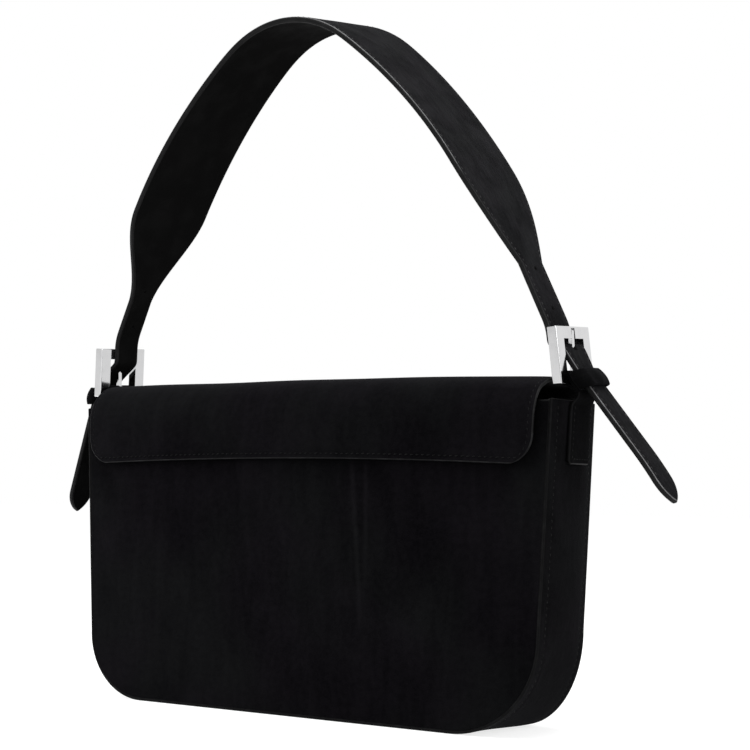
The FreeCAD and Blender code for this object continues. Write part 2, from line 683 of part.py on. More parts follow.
def tab_patch():
    """Leather patch on the right gusset end, narrowing towards the loop."""
    half, top_half = TAB_WIDTH / 2, LOOP_WIDTH / 2
    rise = TAB_TOP_RISE / math.cos(SIDE_ANGLE)
    low, shoulder = -TAB_DROP, -TAB_SHOULDER
    r = TAB_CORNER_RADIUS
    ease = r * (1 - math.sqrt(0.5))

    def point(y, z):
        return V(0, y, z)

    edges = [line(point(-half + r, low), point(half - r, low)),
             arc(point(half - r, low), point(half - ease, low + ease), point(half, low + r)),
             line(point(half, low + r), point(half, shoulder)),
             line(point(half, shoulder), point(top_half, rise)),
             line(point(top_half, rise), point(-top_half, rise)),
             line(point(-top_half, rise), point(-half, shoulder)),
             line(point(-half, shoulder), point(-half, low + r)),
             arc(point(-half, low + r), point(-half + ease, low + ease), point(-half + r, low))]
    patch = prism(edges, V(TAB_THICKNESS, 0, 0))
    patch.rotate(ORIGIN, Y_AXIS, math.degrees(SIDE_ANGLE))
    patch.translate(V(MOUTH_WIDTH / 2, 0, GUSSET_HEIGHT))
    return patch


def keeper(tail):
    """Loop round the right tail, just below the bar."""
    (tail_out, tail_up), _ = tail_line(tail)
    inner_low = -STRAP_LINING - KEEPER_INNER_CLEARANCE
    inner_high = STRAP_OUTER + KEEPER_OUTER_CLEARANCE
    inner_half = STRAP_NARROW / 2 + KEEPER_SIDE_CLEARANCE
    half_length = KEEPER_LENGTH / 2
    outside = box(inner_low - KEEPER_WALL, inner_high + KEEPER_WALL,
                  -inner_half - KEEPER_WALL, inner_half + KEEPER_WALL, -half_length, half_length)
    long_edges = [edge for edge in outside.Edges if abs(edge.tangentAt(0).z) > 0.5]
    outside = outside.makeFillet(KEEPER_CORNER_RADIUS, long_edges)
    hole = box(inner_low, inner_high, -inner_half, inner_half, -half_length, half_length)
    ring = outside.cut(hole)
    ring.translate(V(0, 0, -KEEPER_BELOW_BAR))
    ring.rotate(ORIGIN, Y_AXIS, -tail_turn_deg(tail))
    ring.translate(V(tail_out, 0, tail_up))
    return place_on_buckle(ring)


def build_fittings():
    """Buckles, prongs, tabs and keepers on both sides."""
    parts = {}
    for name, maker in (("buckle_frame", buckle_frame), ("prong", prong), ("tab_loop", tab_loop)):
        parts[name + "_right"] = leaned(maker())
        parts[name + "_left"] = leaned(mirrored(maker()))
    parts["tab_patch_right"] = tab_patch()
    parts["tab_patch_left"] = mirrored(tab_patch())
    parts["keeper_right"] = leaned(keeper(TAIL_RIGHT))
    parts["keeper_left"] = leaned(mirrored(keeper(TAIL_LEFT)))
    return parts


def report_axes():
    """Prints the joint axes that follow from the sizes."""
    print("flap hinge y %.3f z %.3f" % (HALF_DEPTH + FLAP_HINGE_OFFSET, BACK_TOP))
    print("strap swing z %.3f" % SWING_Z)
    swing = FreeCAD.Rotation(X_AXIS, STRAP_LEAN_DEG)
    pivot = V(0, 0, SWING_Z)
    bar = pivot + swing.multVec(V(BAR_X, 0, BAR_Z) - pivot)
    across = swing.multVec(Y_AXIS)
    print("right bar at", tuple(round(c, 3) for c in bar), "axis", tuple(round(c, 5) for c in across))
    for side, angle in ((1, TAIL_ANGLE_RIGHT_DEG), (-1, TAIL_ANGLE_LEFT_DEG)):
        turn = math.radians(angle)
        way = swing.multVec(V(side * math.sin(turn), 0, -math.cos(turn)))
        print("tail way", tuple(round(c, 5) for c in way))


def main():
    """Builds every piece and writes one STEP file for each."""
    os.makedirs("parts", exist_ok=True)
    parts = {}
    for build in (build_body, build_flap, build_strap, build_fittings):
        parts.update(build())
    for name, shape in parts.items():
        shape.exportStep(os.path.join("parts", name + ".step"))
        print(name, "solids", len(shape.Solids), "valid", shape.isValid(), "volume %.1f" % shape.Volume)
    report_axes()


main()
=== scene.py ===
"""Baguette shoulder bag in black suede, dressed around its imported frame.

Sizes are in millimetres in the bag's own frame: X along the width, Y from front to
back, Z up, with the origin in the middle of the base.
"""
import logging
import math
from dataclasses import dataclass, field
from enum import Enum
from typing import Any, Sequence

import bpy
import numpy as np
from mathutils import Matrix, Vector


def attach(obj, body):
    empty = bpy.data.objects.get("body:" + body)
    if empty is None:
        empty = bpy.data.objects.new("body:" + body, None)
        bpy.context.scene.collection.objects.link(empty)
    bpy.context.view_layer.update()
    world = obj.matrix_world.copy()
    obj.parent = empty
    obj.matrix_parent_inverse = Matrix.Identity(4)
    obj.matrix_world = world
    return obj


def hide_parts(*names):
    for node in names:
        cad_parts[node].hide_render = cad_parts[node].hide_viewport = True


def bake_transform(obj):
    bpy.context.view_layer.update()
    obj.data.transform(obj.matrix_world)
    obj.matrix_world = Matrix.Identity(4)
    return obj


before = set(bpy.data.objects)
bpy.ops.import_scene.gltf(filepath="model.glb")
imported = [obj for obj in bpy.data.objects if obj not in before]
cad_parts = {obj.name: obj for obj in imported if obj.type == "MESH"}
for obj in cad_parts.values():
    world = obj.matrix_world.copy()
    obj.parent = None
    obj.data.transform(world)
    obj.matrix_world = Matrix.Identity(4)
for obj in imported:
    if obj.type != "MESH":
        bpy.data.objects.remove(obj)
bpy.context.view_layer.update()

LOG = logging.getLogger("bag")
MM = 0.001
IMAGE_PIXELS = 750
FAR_FROM_EDGE = 99.0
Array = np.ndarray
Material = bpy.types.Material
Piece = bpy.types.Object
Colour = tuple[float, float, float]


class Body(Enum):
    """Bodies of the frame that pieces ride on."""

    BAG = "bag_body"
    FLAP = "flap"
    STRAP = "strap"
    KEEPER_RIGHT = "keeper_right"
    KEEPER_LEFT = "keeper_left"


class Side(Enum):
    """The bag's two ends, with the sign of X there."""

    RIGHT = 1
    LEFT = -1

    @property
    def word(self) -> str:
        """Name of the end, as node names end."""
        return self.name.lower()


def by_side(right: Any, left: Any) -> Any:
    """Dataclass field that holds one value for each end of the bag."""
    return field(default_factory=lambda: {Side.RIGHT: right, Side.LEFT: left})


# Shader tools


class Sock:
    """Shader value that can be used in Python expressions."""

    def __init__(self, graph: "Graph", socket: bpy.types.NodeSocket) -> None:
        """Keeps the socket and the graph that new nodes go to."""
        self.graph = graph
        self.socket = socket

    def _math(self, operation: str, first: Any, second: Any) -> "Sock":
        """Adds one Math node."""
        return self.graph.node("ShaderNodeMath", {"operation": operation}, {0: first, 1: second})

    def __add__(self, other: Any) -> "Sock":
        """Sum."""
        return self._math("ADD", self, other)

    def __sub__(self, other: Any) -> "Sock":
        """Difference."""
        return self._math("SUBTRACT", self, other)

    def __rsub__(self, other: Any) -> "Sock":
        """Difference from a number."""
        return self._math("SUBTRACT", other, self)

    def __mul__(self, other: Any) -> "Sock":
        """Product."""
        return self._math("MULTIPLY", self, other)

    __radd__ = __add__
    __rmul__ = __mul__

    def __abs__(self) -> "Sock":
        """Size without its sign."""
        return self._math("ABSOLUTE", self, 0.0)

    def between(self, low: float, high: float) -> "Sock":
        """0 below low, 1 above high, eased between.

        Args:
            low: Value that becomes 0.
            high: Value that becomes 1.

        Returns:
            The eased value.
        """
        settings = {"interpolation_type": "SMOOTHSTEP"}
        return self.graph.node("ShaderNodeMapRange", settings, {0: self, 1: low, 2: high, 3: 0.0, 4: 1.0})


class Graph:
    """Node tree that is filled from nothing."""

    def __init__(self, owner: Material | bpy.types.World) -> None:
        """Clears the owner's tree.

        Args:
            owner: Material or world that the tree belongs to.
        """
        owner.use_nodes = True
        self.tree = owner.node_tree
        self.tree.nodes.clear()

    def node(
        self,
        kind: str,
        settings: dict[str, Any] | None = None,
        inputs: dict[str | int, Any] | None = None,
        output: str | int | None = 0,
    ) -> Sock | None:
        """Adds a node.

        Args:
            kind: Blender's type name.
            settings: Properties, set first.
            inputs: Values or Socks by socket name or number.
            output: Name or number of the output to return, or None for a node without outputs.

        Returns:
            The chosen output, or None.
        """
        made = self.tree.nodes.new(kind)
        for key, value in (settings or {}).items():
            setattr(made, key, value)
        for key, value in (inputs or {}).items():
            self.feed(made.inputs[key], value)
        return None if output is None else Sock(self, made.outputs[output])

    def feed(self, socket: bpy.types.NodeSocket, value: Any) -> None:
        """Links a Sock to a socket, or sets a plain value on it.

        Args:
            socket: Input socket.
            value: Sock to link or value to set.
        """
        if isinstance(value, Sock):
            self.tree.links.new(value.socket, socket)
        else:
            socket.default_value = value


class Paint(Graph):
    """Node tree of one material, with a Principled shader."""

    def __init__(self, name: str) -> None:
        """Makes the material and its shader.

        Args:
            name: Material name.
        """
        self.material = bpy.data.materials.new(name)
        super().__init__(self.material)
        self.shader = self.tree.nodes.new("ShaderNodeBsdfPrincipled")
        output = self.tree.nodes.new("ShaderNodeOutputMaterial")
        self.tree.links.new(self.shader.outputs[0], output.inputs["Surface"])

    def place(self, output: str, stretch: Sequence[float] = (1.0, 1.0, 1.0)) -> Sock:
        """Texture place in millimetres.

        Args:
            output: Output of the Texture Coordinate node.
            stretch: Factors along the three axes.

        Returns:
            The scaled place.
        """
        source = self.node("ShaderNodeTexCoord", output=output)
        factors = tuple(part / MM for part in stretch)
        return self.node("ShaderNodeVectorMath", {"operation": "MULTIPLY"}, {0: source, 1: factors})

    def noise(self, place: Sock, size: float, detail: float = 2.0, distortion: float = 0.0) -> Sock:
        """Noise whose lumps are about the given size in millimetres."""
        inputs = {"Vector": place, "Scale": 1.0 / size, "Detail": detail, "Distortion": distortion}
        return self.node("ShaderNodeTexNoise", None, inputs)

    def mix(self, factor: Sock | float, first: Any, second: Any) -> Sock:
        """Colour between two colours.

        Args:
            factor: Share of the second colour.
            first: Colour at 0, as numbers or a Sock.
            second: Colour at 1, likewise.

        Returns:
            The mixed colour.
        """
        first = first if isinstance(first, Sock) else (*first, 1.0)
        second = second if isinstance(second, Sock) else (*second, 1.0)
        return self.node("ShaderNodeMix", {"data_type": "RGBA"}, {0: factor, 6: first, 7: second}, 2)

    def bump(self, height: Sock, depth: float) -> Sock:
        """Normal from a height of the given depth in millimetres."""
        return self.node("ShaderNodeBump", None, {"Strength": 1.0, "Distance": depth * MM, "Height": height})

    def finish(self, **values: Any) -> Material:
        """Sets the shader's sockets.

        Args:
            values: Values or Socks by socket name, with _ for spaces.

        Returns:
            The material.
        """
        for name, value in values.items():
            words = name.replace("_", " ")
            if isinstance(value, tuple) and len(value) == 3:
                value = (*value, 1.0)
            self.feed(self.shader.inputs[words], value)
        return self.material


# Finishes


@dataclass(frozen=True)
class Crease:
    """Faint line pressed into a panel.

    Attributes:
        start: One end as (X, Z).
        end: The other end.
        depth: Depth of the dip.
        width: Width of the dip.
        light: How far it lightens the nap.
    """

    start: tuple[float, float]
    end: tuple[float, float]
    depth: float
    width: float
    light: float = 0.0

    def along_and_away(self, x: Any, z: Any) -> tuple[Any, Any]:
        """Place beside the line.

        Args:
            x: Place across the panel, as numbers or a shader value.
            z: Height on the panel, likewise.

        Returns:
            Share of the way along the line, and distance from it.
        """
        run, rise = self.end[0] - self.start[0], self.end[1] - self.start[1]
        length = math.hypot(run, rise)
        share = (x - self.start[0]) * (run / length**2) + (z - self.start[1]) * (rise / length**2)
        return share, abs((x - self.start[0]) * (rise / length) - (z - self.start[1]) * (run / length))

    def height(self, x: Array, z: Array) -> Array:
        """Relief of the crease at places of the panel."""
        share, away = self.along_and_away(x, z)
        return -self.depth * np.exp(-(((share - 0.5) / 0.45) ** 4)) * np.exp(-((away / self.width) ** 2))

    def nap(self, x: Sock, z: Sock) -> Sock:
        """How far the nap is lightened at places of the panel.

        Args:
            x: Place across the panel.
            z: Height on the panel.

        Returns:
            Amount to add to the nap.
        """
        share, away = self.along_and_away(x, z)
        ends = share.between(-0.1, 0.2) * (1.0 - share.between(0.7, 1.1))
        return self.light * ends * (1.0 - away.between(0.0, 1.4 * self.width))


FRONT_CREASES = (
    Crease((31.0, 122.0), (37.5, 40.0), 0.3, 1.5, 0.4),
    Crease((39.0, 122.0), (39.6, 62.0), 0.22, 1.3, 0.32),
    Crease((-62.0, 112.0), (-70.0, 40.0), 0.12, 5.0),
    Crease((70.0, 100.0), (84.0, 24.0), 0.12, 6.0),
)


@dataclass(frozen=True)
class Suede:
    """Brushed leather with a soft nap that lies in patches.

    Attributes:
        name: Material name.
        dark: Colour where the nap lies flat.
        light: Colour where it stands up.
        grain: Width of one tuft of nap in mm.
        patch: Size of the patches in mm.
        streak: How much longer tufts are along the piece than across it.
        cool: Colour of standing nap where the dye is greyer.
        sheen: Weight of the soft glow at grazing angles.
        creases: Lines that lighten the nap.
        tuft_share: How much single tufts lighten the nap.
        brushed_share: How much brush marks do.
        wisp_share: How much long wisps do.
        patch_share: How much the patches do.
        relief: Height of the nap in mm.
    """

    name: str
    dark: Colour = (0.0009, 0.0008, 0.0011)
    light: Colour = (0.0069, 0.0061, 0.0076)
    cool: Colour = (0.0063, 0.0065, 0.0069)
    grain: float = 0.55
    patch: float = 60.0
    streak: float = 1.0
    sheen: float = 0.022
    creases: tuple[Crease, ...] = ()
    tuft_share: float = 0.24
    brushed_share: float = 0.18
    wisp_share: float = 0.2
    patch_share: float = 0.42
    relief: float = 0.22

    def material(self) -> Material:
        """Builds the material.

        Returns:
            The material.
        """
        graph = Paint(self.name)
        flat = graph.place("UV")
        along = graph.place("UV", (1.0, 1.0 / self.streak, 1.0))
        tuft = graph.noise(along, self.grain, 3.0)
        brushed = graph.noise(along, self.grain * 5.0, 3.0, 0.4)
        patches = graph.noise(flat, self.patch, 2.0, 0.5).between(0.25, 0.75)
        combed = graph.place("UV", (1.0, 0.2, 1.0))
        wisps = graph.noise(combed, self.patch / 9.0, 4.0, 0.6).between(0.3, 0.75)
        dye = graph.noise(flat, self.patch * 1.2, 1.0).between(0.38, 0.62)
        nap = tuft.between(0.3, 0.72) * self.tuft_share + brushed.between(0.3, 0.7) * self.brushed_share
        nap = nap + wisps * self.wisp_share + patches * self.patch_share
        for crease in self.creases:
            across = graph.node("ShaderNodeSeparateXYZ", None, {0: flat}, "X")
            up = graph.node("ShaderNodeSeparateXYZ", None, {0: flat}, "Y")
            nap = nap + crease.nap(across, up)
        colour = graph.mix(nap, self.dark, graph.mix(dye, self.light, self.cool))
        height = tuft * 0.7 + brushed * 0.6
        return graph.finish(
            Base_Color=colour,
            Roughness=0.84 + 0.14 * tuft,
            Normal=graph.bump(height, self.relief),
            Specular_IOR_Level=0.012,
            Sheen_Weight=self.sheen,
            Sheen_Roughness=0.42,
            Sheen_Tint=(0.9, 0.9, 1.0),
        )


@dataclass(frozen=True)
class GrainLeather:
    """Smooth leather with a fine pebbled grain."""

    name: str
    dark: Colour = (0.0035, 0.0034, 0.0037)
    light: Colour = (0.009, 0.0088, 0.0093)
    pebble: float = 0.7
    roughness: float = 0.55
    specular: float = 0.22

    def material(self) -> Material:
        """Builds the material.

        Returns:
            The material.
        """
        graph = Paint(self.name)
        flat = graph.place("UV")
        inputs = {"Vector": flat, "Scale": 1.0 / self.pebble}
        pebbles = graph.node("ShaderNodeTexVoronoi", {"feature": "SMOOTH_F1"}, inputs)
        pores = graph.noise(flat, self.pebble * 0.4, 2.0)
        wear = graph.noise(flat, 14.0, 3.0).between(0.4, 0.7)
        colour = graph.mix(0.3 * pebbles + 0.5 * wear, self.dark, self.light)
        rough = self.roughness + 0.18 * pebbles - 0.1 * wear
        return graph.finish(
            Base_Color=colour,
            Roughness=rough,
            Normal=graph.bump(pebbles * 0.8 + pores * 0.3, 0.09),
            Specular_IOR_Level=self.specular,
        )


@dataclass(frozen=True)
class EdgePaint:
    """Cut edge sealed with rounded paint, lighter in random rubbed patches; where the lighter colour is set
    bright, it also paints a highlight.

    Attributes:
        name: Name of the material.
        dark: Colour of the paint.
        wear_and_highlight: Colour of the rubbed patches; set bright, it is a painted highlight.
        roughness: Least roughness.
        specular: Specular level.
        highlight_gap: Heights between which the painted highlight is left off, or None for rubbed patches
            alone.
        highlight_fade: Distance over which the painted highlight sets in there.
    """

    name: str
    dark: Colour = (0.0016, 0.0016, 0.0017)
    wear_and_highlight: Colour = (0.008, 0.008, 0.0083)
    roughness: float = 0.42
    specular: float = 0.14
    highlight_gap: tuple[float, float] | None = None
    highlight_fade: float = 6.0

    def material(self) -> Material:
        """Builds the material.

        Returns:
            The material.
        """
        graph = Paint(self.name)
        place = graph.place("Object")
        rub = graph.noise(place, 5.0, 3.0).between(0.42, 0.72)
        ripple = graph.noise(place, 0.8, 2.0)
        wear = 0.6 * rub + 0.2 * ripple
        # With a height band, the mask becomes a painted highlight: none inside the band, bright outside it,
        # and varied by the random rubbing.
        if self.highlight_gap is not None:
            low, high = self.highlight_gap
            reach = (high - low) / 2.0
            height = graph.node("ShaderNodeSeparateXYZ", None, {0: place}, "Z")
            highlight_zone = abs(height - (low + high) / 2.0).between(reach - self.highlight_fade, reach + self.highlight_fade)
            wear = highlight_zone * (0.5 + 0.6 * wear)
        return graph.finish(
            Base_Color=graph.mix(wear, self.dark, self.wear_and_highlight),
            Roughness=self.roughness + 0.14 * ripple,
            Normal=graph.bump(ripple, 0.05),
            Specular_IOR_Level=self.specular,
        )


@dataclass(frozen=True)
class Thread:
    """Waxed black thread with a visible twist."""

    name: str
    dark: Colour = (0.0012, 0.0012, 0.0013)
    light: Colour = (0.0042, 0.0042, 0.0044)
    twist: float = 0.45
    specular: float = 0.1

    def material(self) -> Material:
        """Builds the material.

        Returns:
            The material.
        """
        graph = Paint(self.name)
        place = graph.place("Object")
        settings = {"wave_type": "BANDS", "bands_direction": "DIAGONAL"}
        inputs = {"Vector": place, "Scale": 1.0 / (self.twist * 6.0), "Distortion": 0.6}
        strands = graph.node("ShaderNodeTexWave", settings, inputs)
        fuzz = graph.noise(place, 0.3, 2.0)
        return graph.finish(
            Base_Color=graph.mix(0.6 * strands + 0.4 * fuzz, self.dark, self.light),
            Roughness=0.45 + 0.25 * fuzz,
            Normal=graph.bump(strands, 0.08),
            Specular_IOR_Level=self.specular,
        )


@dataclass(frozen=True)
class Twill:
    """Woven lining with diagonal ribs."""

    name: str
    dark: Colour = (0.004, 0.004, 0.0045)
    light: Colour = (0.014, 0.014, 0.0155)
    rib: float = 0.8

    def material(self) -> Material:
        """Builds the material.

        Returns:
            The material.
        """
        graph = Paint(self.name)
        flat = graph.place("UV")
        settings = {"wave_type": "BANDS", "bands_direction": "DIAGONAL"}
        ribs = graph.node("ShaderNodeTexWave", settings, {"Vector": flat, "Scale": 1.0 / (self.rib * 4.5)})
        yarn = graph.noise(graph.place("UV", (1.0, 0.3, 1.0)), 0.35, 2.0)
        weave = 0.65 * ribs + 0.35 * yarn
        return graph.finish(
            Base_Color=graph.mix(weave, self.dark, self.light),
            Roughness=0.7 + 0.2 * yarn,
            Normal=graph.bump(weave, 0.12),
            Specular_IOR_Level=0.2,
            Sheen_Weight=0.04,
        )


@dataclass(frozen=True)
class PolishedSteel:
    """Plated steel with faint polishing lines and finger haze."""

    name: str
    colour: Colour = (0.66, 0.66, 0.665)
    hazed: Colour = (0.61, 0.61, 0.615)
    roughness: float = 0.055

    def material(self) -> Material:
        """Builds the material.

        Returns:
            The material.
        """
        graph = Paint(self.name)
        lines = graph.noise(graph.place("Object", (0.05, 3.0, 3.0)), 0.6, 3.0)
        haze = graph.noise(graph.place("Object"), 6.0, 3.0).between(0.42, 0.75)
        return graph.finish(
            Base_Color=graph.mix(0.7 * haze, self.colour, self.hazed),
            Metallic=1.0,
            Roughness=self.roughness + 0.05 * lines + 0.05 * haze,
            Normal=graph.bump(lines, 0.002),
        )


def made_of(finish: Any) -> Any:
    """Dataclass field that holds a finish's material."""
    return field(default_factory=finish.material)


@dataclass(frozen=True)
class Finishes:
    """Every finish of the bag, made once."""

    body: Material = made_of(Suede("body_suede"))
    front: Material = made_of(Suede("front_suede", creases=FRONT_CREASES))
    flap: Material = made_of(
        Suede("flap_suede", dark=(0.001, 0.0009, 0.0012), light=(0.007, 0.0063, 0.0077))
    )
    gusset: Material = made_of(
        Suede("gusset_suede", dark=(0.0009, 0.0009, 0.001), light=(0.0068, 0.0064, 0.0073), patch=30.0)
    )
    strap: Material = made_of(
        Suede(
            "strap_nubuck",
            dark=(0.0015, 0.0015, 0.0017),
            light=(0.0174, 0.0169, 0.0184),
            cool=(0.0165, 0.0168, 0.0174),
            grain=0.4,
            patch=17.0,
            streak=3.0,
        )
    )
    fitting: Material = made_of(
        Suede(
            "fitting_suede",
            dark=(0.0013, 0.0013, 0.0014),
            light=(0.0047, 0.0046, 0.005),
            cool=(0.0046, 0.0047, 0.0048),
            patch=12.0,
        )
    )
    strap_lining: Material = made_of(
        GrainLeather(
            "strap_lining_leather",
            dark=(0.0056, 0.0056, 0.0056),
            light=(0.0086, 0.0086, 0.0086),
            roughness=0.8,
            specular=0.012,
        )
    )
    pocket: Material = made_of(GrainLeather("pocket_leather", pebble=0.9))
    edge: Material = made_of(EdgePaint("edge_paint"))
    # Ridge of the strap's edges: a bright painted highlight with random rubbing, left off over the flared
    # legs, where the real edge turns away from the light.
    crest: Material = made_of(
        EdgePaint(
            "edge_highlight_and_wear",
            dark=(0.002, 0.002, 0.0021),
            wear_and_highlight=(0.2, 0.2, 0.203),
            roughness=0.3,
            highlight_gap=(172.0, 252.0),
        )
    )
    # Flap hem edge: rubbed patches set lighter than on the other edges, partly real wear and partly a
    # painted highlight line along the hem.
    hem: Material = made_of(
        EdgePaint(
            "hem_paint",
            dark=(0.0018, 0.0018, 0.002),
            wear_and_highlight=(0.02, 0.02, 0.0208),
            roughness=0.45,
            specular=0.12,
        )
    )
    rim: Material = made_of(
        EdgePaint(
            "rim_paint",
            dark=(0.0012, 0.0012, 0.0014),
            wear_and_highlight=(0.006, 0.006, 0.0064),
            roughness=0.5,
            specular=0.07,
        )
    )
    thread: Material = made_of(Thread("waxed_thread"))
    # Same thread as waxed_thread, with lighter strands that paint highlight specks along the strap's rows;
    # the higher specular level is the thread's own gloss.
    strap_thread_highlit: Material = made_of(
        Thread("strap_thread_highlit", light=(0.012, 0.012, 0.0124), specular=0.35)
    )
    lining: Material = made_of(Twill("lining_twill"))
    buckle: Material = made_of(PolishedSteel("buckle_steel"))
    snap: Material = made_of(
        PolishedSteel("snap_steel", colour=(0.55, 0.55, 0.56), hazed=(0.42, 0.42, 0.43), roughness=0.22)
    )


# Mesh tools


def unit(vectors: Array) -> Array:
    """Vectors along the last axis at length 1."""
    length = np.linalg.norm(vectors, axis=-1, keepdims=True)
    return vectors / np.maximum(length, 1e-12)


def eased(value: Array | float) -> Array:
    """0 to 1 with level ends."""
    value = np.clip(value, 0.0, 1.0)
    return value * value * (3.0 - 2.0 * value)


def spaced(length: float, step: float, fine: float = 0.3, growth: float = 1.7) -> Array:
    """Places along a length, close together at both ends.

    Args:
        length: Whole length.
        step: Spacing in the middle.
        fine: First spacing at each end.
        growth: Factor from one spacing to the next near the ends.

    Returns:
        Places from 0 to the length.
    """
    head = [0.0]
    gap = fine
    while gap < step:
        head.append(head[-1] + gap)
        gap *= growth
    room = length - 2.0 * head[-1]
    if room <= step:
        return np.linspace(0.0, length, max(3, math.ceil(length / step) + 1))
    middle = np.linspace(head[-1], length - head[-1], math.ceil(room / step) + 1)
    tail = length - np.array(head[:-1])[::-1]
    return np.concatenate([head[:-1], middle, tail])


def waves(u: Array, v: Array, size: float, seed: int) -> Array:
    """Gentle unevenness of hand-worked leather, about -1 to 1.

    Args:
        u: First place in mm.
        v: Second place in mm.
        size: Typical wave length in mm.
        seed: Seed of the fixed directions and phases.

    Returns:
        Height at each place.
    """
    draw = np.random.default_rng(seed)
    total = np.zeros(np.broadcast(u, v).shape)
    for _ in range(7):
        angle, phase, stretch = draw.uniform(0, math.pi), draw.uniform(0, math.tau), draw.uniform(0.6, 1.5)
        along = u * math.cos(angle) + v * math.sin(angle)
        total = total + np.sin(math.tau * along / (size * stretch) + phase)
    return total / 4.0


def smoothed(points: Array, reach: float, step: float) -> Array:
    """Polyline with its corners eased by a bell-shaped average, ends kept.

    Args:
        points: Evenly spaced points.
        reach: Width of the bell.
        step: Spacing of the points.

    Returns:
        As many points.
    """
    count = max(1, math.ceil(3.0 * reach / step))
    bell = np.exp(-0.5 * (np.arange(-count, count + 1) * step / reach) ** 2)
    bell /= bell.sum()
    head = 2.0 * points[0] - points[count:0:-1]
    tail = 2.0 * points[-1] - points[-2 : -count - 2 : -1]
    padded = np.concatenate([head, points, tail])
    return np.stack([np.convolve(padded[:, k], bell, "valid") for k in range(points.shape[1])], axis=1)


def path_lengths(points: Array) -> Array:
    """Length from the start to each point of a polyline."""
    steps = np.linalg.norm(np.diff(points, axis=0), axis=1)
    return np.concatenate([[0.0], np.cumsum(steps)])


def sampled(points: Array, lengths: Array, places: Array | float) -> Array:
    """Values along a polyline.

    Args:
        points: Points of the polyline, or directions at them.
        lengths: Length from the start to each point.
        places: Distances from the start, or one distance.

    Returns:
        The points or directions there.
    """
    return np.stack([np.interp(places, lengths, points[:, k]) for k in range(points.shape[1])], axis=-1)


def resampled(points: Array, step: float) -> Array:
    """Polyline with evenly spaced points.

    Args:
        points: Points of the polyline.
        step: Largest spacing of the new points.

    Returns:
        The new points.
    """
    lengths = path_lengths(points)
    places = np.linspace(0.0, lengths[-1], max(2, math.ceil(lengths[-1] / step) + 1))
    return sampled(points, lengths, places)


def rounded_path(corners: Sequence[Sequence[float]], radii: Sequence[float], step: float) -> Array:
    """Flat path through corners that are rounded by arcs.

    Args:
        corners: Corner points, first and last included.
        radii: Radius at each inner corner.
        step: Spacing of the points.

    Returns:
        Points along the path.
    """
    points = [np.array(corner, float) for corner in corners]
    trace = [points[0]]
    for before, here, after, radius in zip(points, points[1:], points[2:], radii):
        way_in, way_out = unit(here - before), unit(after - here)
        turn = math.acos(float(np.clip(way_in @ way_out, -1.0, 1.0)))
        reach = radius * math.tan(turn / 2.0)
        inward = unit(way_out - way_in)
        centre = here + inward * radius / math.cos(turn / 2.0)
        start = here - way_in * reach - centre
        across = way_in * radius
        for angle in np.linspace(0.0, turn, max(3, math.ceil(turn * radius / step) + 1)):
            trace.append(centre + start * math.cos(angle) + across * math.sin(angle))
    trace.append(points[-1])
    return resampled(np.array(trace), step)


def new_object(
    name: str,
    vertices: Array,
    faces: Sequence[Sequence[int]],
    materials: Sequence[Material],
    slots: Sequence[int] | None = None,
) -> Piece:
    """Mesh object from points in millimetres.

    Args:
        name: Piece name.
        vertices: Points.
        faces: Corner numbers of each face.
        materials: Materials by slot number.
        slots: Slot number of each face, or None for slot 0.

    Returns:
        The linked object, shaded smooth.
    """
    mesh = bpy.data.meshes.new(name)
    mesh.from_pydata((vertices * MM).tolist(), [], faces)
    for material in materials:
        mesh.materials.append(material)
    if slots is not None:
        mesh.polygons.foreach_set("material_index", np.array(slots, np.int32))
    mesh.polygons.foreach_set("use_smooth", np.ones(len(mesh.polygons), bool))
    mesh.update()
    made = bpy.data.objects.new(name, mesh)
    bpy.context.scene.collection.objects.link(made)
    return made


